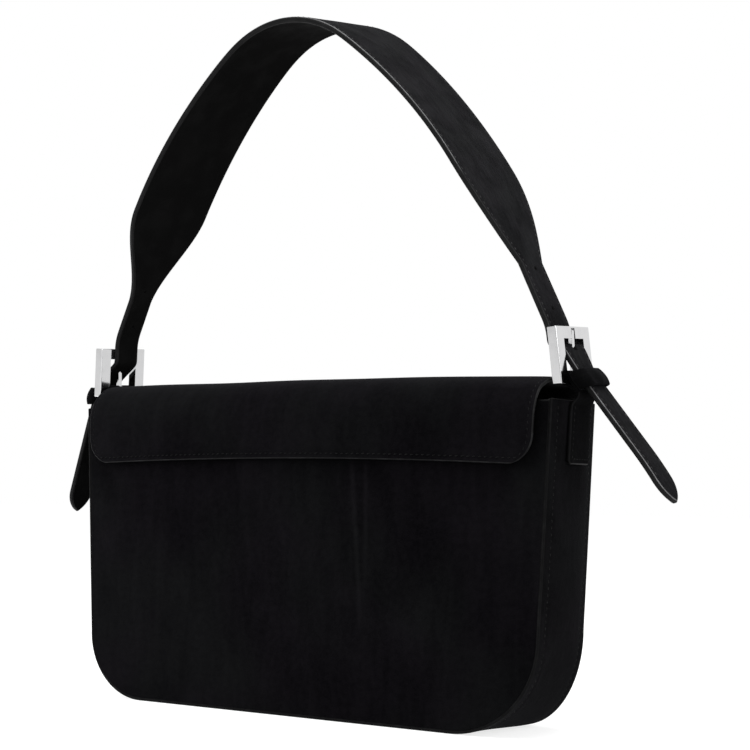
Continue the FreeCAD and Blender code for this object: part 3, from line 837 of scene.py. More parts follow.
@dataclass
class Sheet:
    """Closed sheet of leather or cloth, grown inwards from a grid on its outer face.

    Attributes:
        points: Grid of points, rows by columns by 3.
        thickness: Thickness, one number, or one for each row or each point.
        flip: True where rows across columns point inwards.
        ring: True where the last row joins the first.
        kept: Mask of the grid's cells that are covered, or None for all.
        edge_out: How far the edge bulges, as a share of half the thickness.
        parted: True where the joint between two plies shows in the edge.
    """

    points: Array
    thickness: float | Array
    flip: bool = False
    ring: bool = False
    kept: Array | None = None
    edge_out: float = 0.75
    parted: bool = False

    def normals(self) -> Array:
        """Outward direction at each point of the grid.

        Returns:
            Unit vectors, rows by columns by 3.
        """
        grid = self.points
        if self.ring:
            along = np.roll(grid, -1, axis=0) - np.roll(grid, 1, axis=0)
        else:
            along = np.gradient(grid, axis=0)
        across = np.gradient(grid, axis=1)
        outward = unit(np.cross(along, across))
        return -outward if self.flip else outward

    def area(self) -> float:
        """Area of the outer face, with no cell left out."""
        along, across = np.diff(self.points, axis=0)[:, :-1], np.diff(self.points, axis=1)[:-1]
        return float(np.linalg.norm(np.cross(along, across), axis=2).sum())

    def cells(self) -> list[tuple[int, int, int, int]]:
        """Covered cells, facing outwards.

        Returns:
            Corner numbers of each cell.
        """
        rows, columns = self.points.shape[:2]
        found = []
        for i in range(rows if self.ring else rows - 1):
            below = (i + 1) % rows
            for j in range(columns - 1):
                if self.kept is not None and not self.kept[i, j]:
                    continue
                here, there = i * columns + j, below * columns + j
                corners = (here, there, there + 1, here + 1)
                found.append(corners[::-1] if self.flip else corners)
        return found

    def edge_profile(self) -> list[tuple[float, float]]:
        """Section of the edge between its two faces.

        Returns:
            Steps as (out, up), in shares of half the thickness.
        """
        upper = [(0.55, 0.84), (0.9, 0.5), (0.98, 0.22)] if self.parted else [(0.5, 0.866), (0.866, 0.5)]
        middle = (0.72, 0.0) if self.parted else (1.0, 0.0)
        return [*upper, middle, *((out, -up) for out, up in reversed(upper))]

    def places(self) -> Array:
        """Flat texture place of each point.

        Returns:
            Distances across and along the sheet, in metres.
        """
        rows, columns = self.points.shape[:2]
        middle = path_lengths(self.points[:, columns // 2])
        across = np.linalg.norm(np.diff(self.points, axis=1), axis=2).cumsum(axis=1)
        across = np.concatenate([np.zeros((rows, 1)), across], axis=1)
        across -= across[:, columns // 2 : columns // 2 + 1]
        down = np.broadcast_to(middle[:, None], (rows, columns))
        return np.stack([across, down], axis=2).reshape(-1, 2) * MM

    def build(
        self,
        name: str,
        outer: Material,
        inner: Material,
        edge: Material,
        crest: Material | None = None,
    ) -> Piece:
        """Makes the object.

        Args:
            name: Piece name.
            outer: Material of the outer face.
            inner: Material of the inner face.
            edge: Material of the edges. Holes take the inner face's.
            crest: Material of the edges' ridge beside the outer face, or None for the edges' own.

        Returns:
            The object.
        """
        rows, columns = self.points.shape[:2]
        cells = self.cells()
        face_normals = self.normals().reshape(-1, 3)
        grid = self.points.reshape(-1, 3)
        thick = np.asarray(self.thickness, float)
        thick = thick[:, None] if thick.ndim == 1 else thick
        thick = np.broadcast_to(thick, (rows, columns)).reshape(-1, 1)
        used = np.unique(np.array(cells))
        outer_id = np.full(len(grid), -1)
        outer_id[used] = np.arange(len(used))
        shift = len(used)
        vertices = [grid[used], grid[used] - face_normals[used] * thick[used]]
        faces = [tuple(outer_id[c] for c in cell) for cell in cells]
        faces += [tuple(outer_id[c] + shift for c in cell[::-1]) for cell in cells]
        slots = [0] * len(cells) + [1] * len(cells)
        ring_ids, ring_points, rim = self.rim(cells, grid, face_normals, thick, 2 * shift)
        vertices.append(ring_points)
        steps = len(self.edge_profile())
        outline = np.ones((rows, columns), bool)
        outline[1:-1, 1:-1] = False
        outline = outline.ravel()
        for here, there in rim:
            on_outline = bool(outline[here] and outline[there])
            ladder_here = [outer_id[here], *ring_ids[here], outer_id[here] + shift]
            ladder_there = [outer_id[there], *ring_ids[there], outer_id[there] + shift]
            for k in range(steps + 1):
                faces.append((ladder_there[k], ladder_here[k], ladder_here[k + 1], ladder_there[k + 1]))
                # The step next to the outer face takes the crest material, which on the strap carries a
                # painted highlight.
                slots.append((3 if k == 0 else 2) if on_outline else 1)
        made = new_object(name, np.concatenate(vertices), faces, (outer, inner, edge, crest or edge), slots)
        places = self.places()
        source = np.concatenate([used, used, np.repeat(list(ring_ids), steps)]).astype(int)
        layer = made.data.uv_layers.new(name="leather")
        corners = np.zeros(len(made.data.loops), np.int32)
        made.data.loops.foreach_get("vertex_index", corners)
        layer.data.foreach_set("uv", places[source[corners]].astype(np.float32).ravel())
        return made

    def rim(
        self, cells: Sequence[Sequence[int]], grid: Array, normals: Array, thick: Array, first: int
    ) -> tuple[dict[int, list[int]], Array, list[tuple[int, int]]]:
        """Points of the rounded edge.

        Args:
            cells: Covered cells.
            grid: Points of the grid as a list.
            normals: Outward directions of those points.
            thick: Thickness at those points.
            first: Number of the first new vertex.

        Returns:
            Numbers of the new vertices by grid point, the new vertices, and the open sides of cells.
        """
        sides = {(cell[k], cell[(k + 1) % 4]) for cell in cells for k in range(4)}
        rim = sorted(side for side in sides if side[::-1] not in sides)
        after = dict(rim)
        before = {there: here for here, there in rim}
        ids: dict[int, list[int]] = {}
        made = []
        for point, following in after.items():
            way = unit(grid[following] - grid[point]) + unit(grid[point] - grid[before[point]])
            outward = unit(np.cross(way, normals[point]))
            half = thick[point] / 2.0
            middle = grid[point] - normals[point] * half
            ids[point] = []
            for out, up in self.edge_profile():
                ids[point].append(first + len(made))
                made.append(middle + outward * (half * self.edge_out * out) + normals[point] * (half * up))
        return ids, np.array(made), rim


@dataclass
class Stitching:
    """Rows of thread sewn into a piece.

    Attributes:
        pitch: Distance from stitch to stitch.
        length: Visible length of one stitch.
        radius: Radius of the thread.
        slant_deg: Turn of each stitch from the row's direction.
        sunk: Depth of the thread's middle below the leather, as a share of its radius.
        rows: Path and outward directions of each row sewn so far.
    """

    pitch: float = 2.9
    length: float = 1.45
    radius: float = 0.24
    slant_deg: float = 9.0
    sunk: float = 0.2
    rows: list[tuple[Array, Array]] = field(default_factory=list)

    def sew(self, path: Array, normals: Array) -> None:
        """Adds a row along a path on a surface with the given outward directions."""
        self.rows.append((path, normals))

    def build(self, name: str, material: Material) -> Piece:
        """Makes one object of all rows.

        Args:
            name: Piece name.
            material: Finish of the thread.

        Returns:
            The object.
        """
        along = np.array([-1.0, -0.86, -0.5, 0.0, 0.5, 0.86, 1.0])
        swell = np.array([0.35, 0.78, 0.98, 1.0, 0.98, 0.78, 0.35])
        lift = (1.0 - along**2) * 0.9 - 0.55 - self.sunk
        turns = np.arange(6) * math.tau / 6
        count = len(along) * len(turns)
        vertices: list[Array] = []
        faces: list[tuple[int, ...]] = []
        slant = math.radians(self.slant_deg)
        for path, normals in self.rows:
            lengths = path_lengths(path)
            for place in np.arange(self.pitch / 2.0, lengths[-1], self.pitch):
                centre = sampled(path, lengths, place)
                up = unit(sampled(normals, lengths, place))
                row_way = unit(sampled(path, lengths, place + 0.5) - sampled(path, lengths, place - 0.5))
                row_side = unit(np.cross(up, row_way))
                way = row_way * math.cos(slant) + row_side * math.sin(slant)
                side = row_side * math.cos(slant) - row_way * math.sin(slant)
                first = len(vertices) * count
                ring = centre + np.outer(along * self.length / 2.0, way) + np.outer(lift * self.radius, up)
                spokes = np.outer(np.cos(turns), side) + np.outer(np.sin(turns), up)
                thread = ring[:, None] + spokes[None] * (swell * self.radius)[:, None, None]
                vertices.append(thread.reshape(-1, 3))
                faces += self.stitch_faces(first, len(along), len(turns))
        return new_object(name, np.concatenate(vertices), faces, (material,))

    @staticmethod
    def stitch_faces(first: int, rings: int, sides: int) -> list[tuple[int, ...]]:
        """Faces of one stitch.

        Args:
            first: Number of its first vertex.
            rings: Rings along it.
            sides: Points of each ring.

        Returns:
            Corner numbers of its faces.
        """
        found: list[tuple[int, ...]] = []
        for k in range(rings - 1):
            for m in range(sides):
                a, b = first + k * sides + m, first + k * sides + (m + 1) % sides
                found.append((a, a + sides, b + sides, b))
        last = first + (rings - 1) * sides
        found.append(tuple(first + m for m in range(sides)))
        found.append(tuple(last + m for m in reversed(range(sides))))
        return found


def groove(distance: Array, depth: float, width: float = 0.9) -> Array:
    """Dip that a row of stitches pulls into leather, by distance from the row."""
    return depth * np.exp(-((distance / width) ** 2))


def ride(piece: Piece, body: Body, slot: str, *nodes: str) -> None:
    """Hangs a piece on a body, hides the nodes that it stands for, and logs it."""
    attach(piece, body.value)
    declare(piece, slot, *nodes)


def declare(piece: Piece, slot: str, *nodes: str) -> None:
    """Hides the frame nodes that a piece stands for, and logs the piece.

    Args:
        piece: The piece.
        slot: Name of its material slot; not used.
        nodes: Frame nodes that it stands for.
    """
    if nodes:
        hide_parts(*nodes)
    LOG.info("%s: %d faces", piece.name, len(piece.data.polygons))


# Body of the bag


@dataclass(frozen=True)
class Corner:
    """Rounded lower corner: how far it reaches along the base and up the side."""

    width: float
    height: float


@dataclass(frozen=True)
class Outline:
    """Outline of the front or the back: tapered sides, a flat base and rounded lower corners."""

    mouth_half: float = 134.0
    base_half: float = 126.0
    height: float = 147.0
    corners: dict[Side, Corner] = by_side(Corner(44.0, 44.0), Corner(33.0, 33.0))

    @property
    def slope(self) -> float:
        """Lean of the sides from upright, in radians."""
        return math.atan2(self.mouth_half - self.base_half, self.height)

    def corner_x(self, side: Side) -> float:
        """Distance of a corner's centre from the middle."""
        corner = self.corners[side]
        return self.base_half + corner.height * math.tan(self.slope) - corner.width

    def half_at(self, z: Array, inset: float, side: Side) -> Array:
        """Half width at a height, set in from the outline.

        Args:
            z: Heights.
            inset: Distance inside the outline.
            side: The end of the bag.

        Returns:
            Half widths.
        """
        corner = self.corners[side]
        drop = (corner.height - z) / (corner.height - inset)
        straight = self.base_half + z * math.tan(self.slope) - inset
        curved = self.corner_x(side) + (corner.width - inset) * np.sqrt(np.maximum(1.0 - drop**2, 0.0))
        return np.where(drop > 0.0, curved, straight)

    def panel(self, inset: float, top: float, step: float, share: Array) -> tuple[Array, Array, Array]:
        """Grid inside the outline, with rows that follow the corners closely.

        Args:
            inset: Distance inside the outline.
            top: Height of the upper edge.
            step: Spacing of the rows.
            share: Places across, from -1 to 1.

        Returns:
            X, Z and the distance from the sides and the base, each rows by columns.
        """
        tallest = max(corner.height for corner in self.corners.values())
        low = tallest - (tallest - inset) * np.cos(np.linspace(0.0, math.pi / 2.0, 24))
        z = np.concatenate([low[:-1], low[-1] + spaced(top - low[-1], step)])[:, None]
        half = np.where(share < 0.0, self.half_at(z, inset, Side.LEFT), self.half_at(z, inset, Side.RIGHT))
        x = half * share
        z = np.broadcast_to(z, x.shape)
        return x, z, np.minimum(half - np.abs(x), z - inset)

    def end(self, side: Side, step: float) -> tuple[Array, Array]:
        """Path down one end of the bag and round its corner, as on the right side.

        Args:
            side: The end of the bag.
            step: Spacing of the points.

        Returns:
            Points and outward directions, both as (X, Z).
        """
        corner = self.corners[side]
        drop = spaced(self.height - corner.height, step)[:-1]
        straight = np.stack([self.mouth_half - drop * math.tan(self.slope), self.height - drop], axis=1)
        outward = np.array([math.cos(self.slope), -math.sin(self.slope)])
        arc = np.linspace(0.0, -math.pi / 2.0, 34)
        size = np.array([corner.width, corner.height])
        ways = np.stack([np.cos(arc), np.sin(arc)], axis=1)
        bend = np.array([self.corner_x(side), corner.height]) + ways * size
        points = np.concatenate([straight, bend])
        return points, np.concatenate([np.broadcast_to(outward, straight.shape), unit(ways / size)])

    def strip(self, step: float) -> tuple[Array, Array]:
        """Path of the gusset strip from the left mouth round the base to the right mouth.

        Args:
            step: Spacing of the points.

        Returns:
            Points and outward directions, both as (X, Z).
        """
        right, right_ways = self.end(Side.RIGHT, step)
        left, left_ways = self.end(Side.LEFT, step)
        low, high = -self.corner_x(Side.LEFT), self.corner_x(Side.RIGHT)
        base_x = np.linspace(low, high, math.ceil((high - low) / step) + 1)[1:-1]
        base = np.stack([base_x, np.zeros_like(base_x)], axis=1)
        mirror = np.array([-1.0, 1.0])
        points = np.concatenate([left * mirror, base, right[::-1]])
        down = np.broadcast_to([0.0, -1.0], base.shape)
        return points, np.concatenate([left_ways * mirror, down, right_ways[::-1]])


@dataclass
class BagBody:
    """Panels, gusset strip, linings and pocket."""

    outline: Outline = field(default_factory=Outline)
    back_outline: Outline = field(
        default_factory=lambda: Outline(
            133.2, 125.7, corners={Side.RIGHT: Corner(31.0, 45.0), Side.LEFT: Corner(33.0, 33.0)}
        )
    )
    depth: float = 46.5
    gusset_thickness: float = 1.4
    panel_thickness: float = 2.2
    panel_gap: float = 0.1
    panel_inset: float = 0.3
    back_top: float = 150.0
    lining_thickness: float = 0.7
    lining_inset: float = 2.55
    wall: float = 2.2
    panel_crown: float = 0.5
    panel_uneven: float = 0.14
    panel_step: float = 2.4
    gusset_bulge: float = 2.0
    gusset_uneven: float = 0.16
    gusset_step: float = 2.2
    lining_uneven: float = 0.05
    lining_drop: float = 0.3
    lining_step: float = 4.0
    row_inset: float = 5.2
    row_depth: float = 0.22
    creases: tuple[Crease, ...] = FRONT_CREASES
    pocket_width: float = 150.0
    pocket_top: float = 123.0
    pocket_height: float = 85.0
    pocket_gape: float = 2.2
    pocket_thickness: float = 0.8
    pocket_face: float = 0.9
    pocket_row: float = 2.2

    def build(self, finishes: Finishes) -> None:
        """Makes every piece of the body.

        Args:
            finishes: The finishes.
        """
        self.build_gusset(finishes)
        self.build_panel("front_panel", -1.0, self.outline.height, finishes.front, finishes)
        self.build_panel("back_panel", 1.0, self.back_top, finishes.body, finishes)
        self.build_linings(finishes)
        self.build_pocket(finishes)

    def gusset_grid(self, inset: float, low: float, high: float, step: float) -> Array:
        """Grid of the strip round the sides and base, between two places in Y.

        Args:
            inset: Distance inside the outline.
            low: Front edge.
            high: Back edge.
            step: Spacing along the strip.

        Returns:
            Grid of points.
        """
        path, ways = self.outline.strip(step)
        back_path, back_ways = self.matched_strip(path, step)
        across = low + spaced(high - low, 1.6)
        share = eased(across / self.depth + 0.5)[None, :, None]
        middle = path[:, None] * (1.0 - share) + back_path[:, None] * share
        outward = unit(ways[:, None] * (1.0 - share) + back_ways[:, None] * share)
        relief = self.gusset_relief(path, across) if inset == 0.0 else np.zeros((len(path), len(across)))
        flat = middle + outward * (relief - inset)[..., None]
        y = np.broadcast_to(across[None, :], relief.shape)
        return np.stack([flat[..., 0], y, flat[..., 1]], axis=2)

    def matched_strip(self, path: Array, step: float) -> tuple[Array, Array]:
        """Back path of the strip, point for point with the front one.

        Args:
            path: Front path as (X, Z).
            step: Spacing along the strip.

        Returns:
            Points and outward directions, both as (X, Z).
        """
        back, ways = self.back_outline.strip(step)
        here, there = path_lengths(path), path_lengths(back)
        here, there = here / here[-1], there / there[-1]
        return sampled(back, there, here), sampled(ways, there, here)

    def gusset_relief(self, path: Array, across: Array) -> Array:
        """Bulge, waves and sewn rows of the strip.

        Args:
            path: Middle line as (X, Z).
            across: Places in Y.

        Returns:
            Height over the flat form, rows by columns.
        """
        side = eased((path[:, 1] - 20.0) / 60.0)[:, None]
        share = (2.0 * across / self.depth)[None, :]
        bulge = self.gusset_bulge * (1.0 - share**2) * side
        uneven = self.gusset_uneven * waves(path_lengths(path)[:, None], across[None, :], 46.0, 11) * side
        row = np.abs(np.abs(across) - (self.depth / 2.0 - self.row_inset))[None, :]
        return bulge + uneven * (1.0 - share**4) - groove(row, self.row_depth)

    def build_gusset(self, finishes: Finishes) -> None:
        """Makes the outer strip and its two sewn rows.

        Args:
            finishes: The finishes.
        """
        half = self.depth / 2.0
        lip = self.gusset_thickness / 2.0 * Sheet.edge_out
        grid = self.gusset_grid(0.0, -half + lip, half - lip, self.gusset_step)
        strip = Sheet(grid, self.gusset_thickness, flip=True)
        piece = strip.build("gusset_strip", finishes.gusset, finishes.lining, finishes.rim)
        ride(piece, Body.BAG, "gusset_suede", "gusset", "gusset_board")
        thread = Stitching()
        normals = strip.normals()
        for place in (-half + self.row_inset, half - self.row_inset):
            column = int(np.argmin(np.abs(grid[0, :, 1] - place)))
            thread.sew(grid[3:-3, column], normals[3:-3, column])
        ride(thread.build("gusset_stitches", finishes.thread), Body.BAG, "gusset_suede")

    def build_panel(
        self, node: str, side: float, top: float, suede: Material, finishes: Finishes
    ) -> None:
        """Makes the front or the back panel.

        Args:
            node: Frame node that it stands for.
            side: -1 for the front, 1 for the back.
            top: Height of its upper edge.
            suede: Finish of its outer face.
            finishes: The finishes.
        """
        outline = self.outline if side < 0 else self.back_outline
        inset = self.gusset_thickness + self.panel_gap
        share = spaced(2.0, 0.018, 0.003) - 1.0
        lip = self.panel_thickness / 2.0 * Sheet.edge_out
        x, z, gap = outline.panel(inset, top - lip, self.panel_step, share)
        relief = self.panel_crown * (1.0 - np.exp(-np.maximum(gap, 0.0) / 9.0))
        relief = relief + self.panel_uneven * waves(x, z, 60.0, 5 + int(side)) * eased(gap / 12.0)
        if side < 0:
            relief = relief + sum(crease.height(x, z) for crease in self.creases)
        y = side * (self.depth / 2.0 - self.panel_inset + relief)
        sheet = Sheet(np.stack([x, y, z], axis=2), self.panel_thickness, flip=side < 0)
        piece = sheet.build(node + "_suede", suede, finishes.lining, finishes.rim)
        ride(piece, Body.BAG, "panel_suede", node, node.replace("panel", "board"))

    def build_linings(self, finishes: Finishes) -> None:
        """Makes the cloth inside the panels and the strip.

        Args:
            finishes: The finishes.
        """
        inner = self.depth / 2.0 - self.panel_inset - self.wall
        front, back = (self.outline, -1.0, self.outline.height), (self.back_outline, 1.0, self.back_top)
        for word, (outline, side, top) in (("front", front), ("back", back)):
            share = spaced(2.0, 0.04, 0.004) - 1.0
            x, z, _ = outline.panel(self.lining_inset, top - self.lining_drop, self.lining_step, share)
            y = side * (inner + self.lining_uneven * waves(x, z, 38.0, 21) - self.lining_uneven)
            sheet = Sheet(np.stack([x, y, z], axis=2), self.lining_thickness, flip=side < 0)
            cut = (float(np.ptp(x)), float(np.ptp(z)))
            self.build_lining(word, sheet, cut, word + "_panel_suede", finishes)
        reach = inner - self.lining_thickness
        grid = self.gusset_grid(self.lining_inset, -reach, reach, self.lining_step)
        strip = Sheet(grid, self.lining_thickness, flip=True)
        length = max(path_lengths(strip.points[:, 0])[-1], path_lengths(strip.points[:, -1])[-1])
        self.build_lining("gusset", strip, (2.0 * reach, float(length)), "gusset_strip", finishes)

    @staticmethod
    def build_lining(
        word: str, sheet: Sheet, cut: tuple[float, float], under: str, finishes: Finishes
    ) -> None:
        """Makes one piece of lining cloth.

        Args:
            word: Piece of the body that it lines.
            sheet: Its shape.
            cut: Width and length of the cloth that it is cut from.
            under: Piece that it is stretched over; not used.
            finishes: The finishes.
        """
        piece = sheet.build(word + "_lining_twill", finishes.lining, finishes.lining, finishes.lining)
        ride(piece, Body.BAG, "lining_fabric", word + "_lining")
        area = min(sheet.area(), cut[0] * cut[1])
        cut[0] * MM
        cut[1] * MM
        area * MM * MM
        LOG.info("%s: cut %.0f x %.0f mm, %.0f cm2", piece.name, *cut, area / 100.0)

    def build_pocket(self, finishes: Finishes) -> None:
        """Makes the slip pocket on the back lining, gaping a little at its mouth.

        Args:
            finishes: The finishes.
        """
        back = self.depth / 2.0 - self.panel_inset - self.wall - self.lining_thickness
        face = back - self.pocket_face
        half = self.pocket_width / 2.0
        rows = spaced(self.pocket_height, 2.5)
        x = (spaced(self.pocket_width, 3.0) - half)[None, :] + np.zeros((len(rows), 1))
        z = (self.pocket_top - self.pocket_height + rows)[:, None] + np.zeros(x.shape)
        open_share = eased((rows / self.pocket_height - 0.35) / 0.65)[:, None]
        gape = self.pocket_gape * open_share * (1.0 - (x / half) ** 2) ** 0.8
        sewn = np.minimum(half - np.abs(x), z - z.min())
        y = face - gape + groove(np.abs(sewn - self.pocket_row), 0.15)
        sheet = Sheet(np.stack([x, y, z], axis=2), self.pocket_thickness, flip=True)
        piece = sheet.build("slip_pocket_leather", finishes.pocket, finishes.lining, finishes.edge)
        ride(piece, Body.BAG, "pocket_leather", "slip_pocket")
        thread = Stitching(pitch=2.8, radius=0.22)
        low, high = z.min() + self.pocket_row, self.pocket_top - 1.0
        reach = half - self.pocket_row
        path = resampled(np.array([(-reach, high), (-reach, low), (reach, low), (reach, high)]), 1.0)
        path = np.stack([path[:, 0], np.full(len(path), face), path[:, 1]], axis=1)
        thread.sew(path, np.broadcast_to([0.0, -1.0, 0.0], path.shape))
        ride(thread.build("slip_pocket_stitches", finishes.thread), Body.BAG, "pocket_leather")


# Flap


@dataclass
class Flap:
    """Suede flap that rolls over the mouth and hangs down the front."""

    half_top: float = 129.6
    taper: float = 2.2
    top: float = 160.0
    roof: float = 173.0
    front: float = -28.75
    back: float = 23.25
    front_roll: float = 21.0
    back_roll: float = 9.0
    seam_z: float = 149.9
    hem: float = 119.0
    hem_arch: float = 2.2
    corner_radius: float = 13.0
    thickness: float = 3.0
    edge_thickness: float = 1.9
    edge_out: float = 0.6
    row_inset: float = 2.6
    row_depth: float = 0.24
    hang_share: float = 0.75
    arch_reach: float = 26.0
    sag_reach: float = 9.0
    uneven: float = 0.22
    edge_fall: float = 0.35
    step: float = 0.25
    ease: float = 2.5
    row_start: float = 6.0
    crown_sag: dict[Side, float] = by_side(2.0, 0.3)
    bend_start: tuple[float, float] = (23.25, 150.1)
    bend_way: tuple[float, float] = (-4.2, 4.2)

    def profile(self) -> Array:
        """Side view of the outer face.

        Returns:
            Points from the back seam to the hem, as (Y, Z).
        """
        corners = [(self.back, self.seam_z), (self.back, self.top)]
        corners += [(self.front, self.top), (self.front, self.hem)]
        path = rounded_path(corners, (self.back_roll, self.front_roll), self.step)
        return smoothed(path, self.ease, self.step)

    def half_at(self, z: Array) -> Array:
        """Half width of the hanging part.

        Args:
            z: Heights.

        Returns:
            Half widths.
        """
        half_hem = self.half_top - self.taper
        corner_z = self.hem + self.corner_radius
        straight = half_hem + self.taper * (z - corner_z) / (self.roof - corner_z)
        drop = np.clip(corner_z - z, 0.0, self.corner_radius)
        curved = half_hem - self.corner_radius + np.sqrt(self.corner_radius**2 - drop**2)
        return np.where(z < corner_z, curved, straight)

    def surface(self, share: Array, profile: Array, inset: float) -> tuple[Array, Array]:
        """Outer face over the flap's outline.

        Args:
            share: Places across, from -1 to 1.
            profile: Points of the side view.
            inset: Distance inside the outline.

        Returns:
            Grid of points, and their distance from the free edges.
        """
        y, z = profile[:, :1], profile[:, 1:]
        hanging = y < self.front + self.front_roll * self.hang_share
        low_z = np.where(hanging, z, self.top)
        half = self.half_at(np.maximum(low_z, self.hem)) - inset
        x = half * share[None, :]
        reach = self.half_top - self.taper - self.corner_radius
        arch = self.hem_arch * (1.0 - np.clip(np.abs(x) / reach, 0.0, 1.0) ** 2)
        rise = arch * eased((self.hem + self.arch_reach - low_z) / self.arch_reach)
        side_gap = half - np.abs(x)
        hem_gap = np.where(hanging, z - self.hem, FAR_FROM_EDGE)
        gap = np.minimum(side_gap, hem_gap) + inset
        length = path_lengths(profile)[:, None]
        soft = eased(gap / 14.0)
        relief = self.uneven * waves(x, length, 70.0, 3) * soft
        relief = relief - groove(np.abs(gap - self.row_inset), self.row_depth)
        relief = relief - self.edge_fall * np.exp(-np.maximum(gap, 0.0) / 1.1)
        ways = np.gradient(profile, axis=0)
        outward = unit(np.stack([ways[:, 1], -ways[:, 0]], axis=1))
        most = np.where(x > 0.0, self.crown_sag[Side.RIGHT], self.crown_sag[Side.LEFT])
        sag = most * (x / self.half_top) ** 2 * eased((z - self.top + self.sag_reach) / self.sag_reach)
        depth = y + outward[:, :1] * relief + np.zeros_like(x)
        return np.stack([x, depth, z + outward[:, 1:] * relief + rise - sag], axis=2), gap

    def build(self, finishes: Finishes) -> None:
        """Makes the flap and its sewn row.

        Args:
            finishes: The finishes.
        """
        lip = self.edge_thickness / 2.0 * self.edge_out
        profile = self.profile()
        lengths = path_lengths(profile)
        stops = spaced(lengths[-1] - lip, 1.5, 0.3)
        rows = sampled(profile, lengths, stops)
        share = spaced(2.0, 0.016, 0.0025) - 1.0
        grid, gap = self.surface(share, rows, lip)
        thick = self.edge_thickness + (self.thickness - self.edge_thickness) * eased(gap / 8.0)
        sheet = Sheet(grid, thick, edge_out=self.edge_out)
        piece = sheet.build("flap_suede_roll", finishes.flap, finishes.lining, finishes.hem)
        self.bend(piece)
        declare(piece, "flap_suede", "flap_outer", "flap_board", "flap_lining")
        thread = self.stitches(profile)
        stitches = thread.build("flap_stitches", finishes.thread)
        self.bend(stitches)
        declare(stitches, "flap_suede")

    def bend(self, piece: Piece) -> None:
        """Bakes a piece's placement into its mesh.

        Args:
            piece: The piece.
        """
        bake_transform(piece)

    def stitches(self, profile: Array) -> Stitching:
        """Row of stitches along both sides and the hem.

        Args:
            profile: Points of the side view.

        Returns:
            The stitching.
        """
        lengths = path_lengths(profile)
        inset = self.row_inset
        stop = lengths[-1] - inset
        places = np.linspace(self.row_start, stop, 400)
        rows = sampled(profile, lengths, places)
        side, _ = self.surface(np.array([-1.0, 1.0]), rows, inset)
        hem_share = np.linspace(-1.0, 1.0, 300)
        hem = self.surface(hem_share, rows[-3:], inset)[0][-1]
        path = np.concatenate([side[:, 0], hem, side[::-1, 1]])
        ways = np.gradient(rows, axis=0)
        outward = unit(np.stack([np.zeros(len(rows)), ways[:, 1], -ways[:, 0]], axis=1))
        hem_outward = np.broadcast_to([0.0, -1.0, 0.0], hem.shape)
        thread = Stitching()
        thread.sew(path, np.concatenate([outward, hem_outward, outward[::-1]]))
        return thread


# Strap, buckles, tabs and keepers


@dataclass(frozen=True)
class BuckleFrame:
    """Place of the right buckle: its bar, its lean and the swing of the strap that it hangs on."""

    bar_x: float = 133.25
    bar_z: float = 157.7
    lean_deg: float = 4.85
    thickness: float = 4.5
    window_top: float = 17.3
    top: float = 22.8
    swing_z: float = 154.0
    strap_lean_deg: float = 4.25
    loop_radius: float = 3.35

    def point(self, out: float, up: float) -> Array:
        """Point in the buckle's plane.

        Args:
            out: Distance out from the bag.
            up: Distance up from the bar.

        Returns:
            The point as (X, Z).
        """
        lean = math.radians(self.lean_deg)
        x = self.bar_x + out * math.cos(lean) - up * math.sin(lean)
        return np.array([x, self.bar_z + out * math.sin(lean) + up * math.cos(lean)])

    def leaned(self, points: Array) -> Array:
        """Points swung forward with the strap.

        Args:
            points: Points of the upright strap.

        Returns:
            The points in the bag's frame.
        """
        lean = math.radians(self.strap_lean_deg)
        y, z = points[..., 1], points[..., 2] - self.swing_z
        swung_y = y * math.cos(lean) - z * math.sin(lean)
        swung_z = y * math.sin(lean) + z * math.cos(lean) + self.swing_z
        return np.stack([points[..., 0], swung_y, swung_z], axis=-1)

    def tail_line(self, angle_deg: float, offset: float) -> tuple[Array, Array]:
        """Tail's middle line beside the bar.

        Args:
            angle_deg: Angle of the tail from straight down.
            offset: Distance from the bar's middle.

        Returns:
            Point and direction in the buckle's plane, as (out, up).
        """
        angle = math.radians(angle_deg - self.lean_deg)
        way = np.array([math.sin(angle), -math.cos(angle)])
        return np.array([-way[1], way[0]]) * offset, way


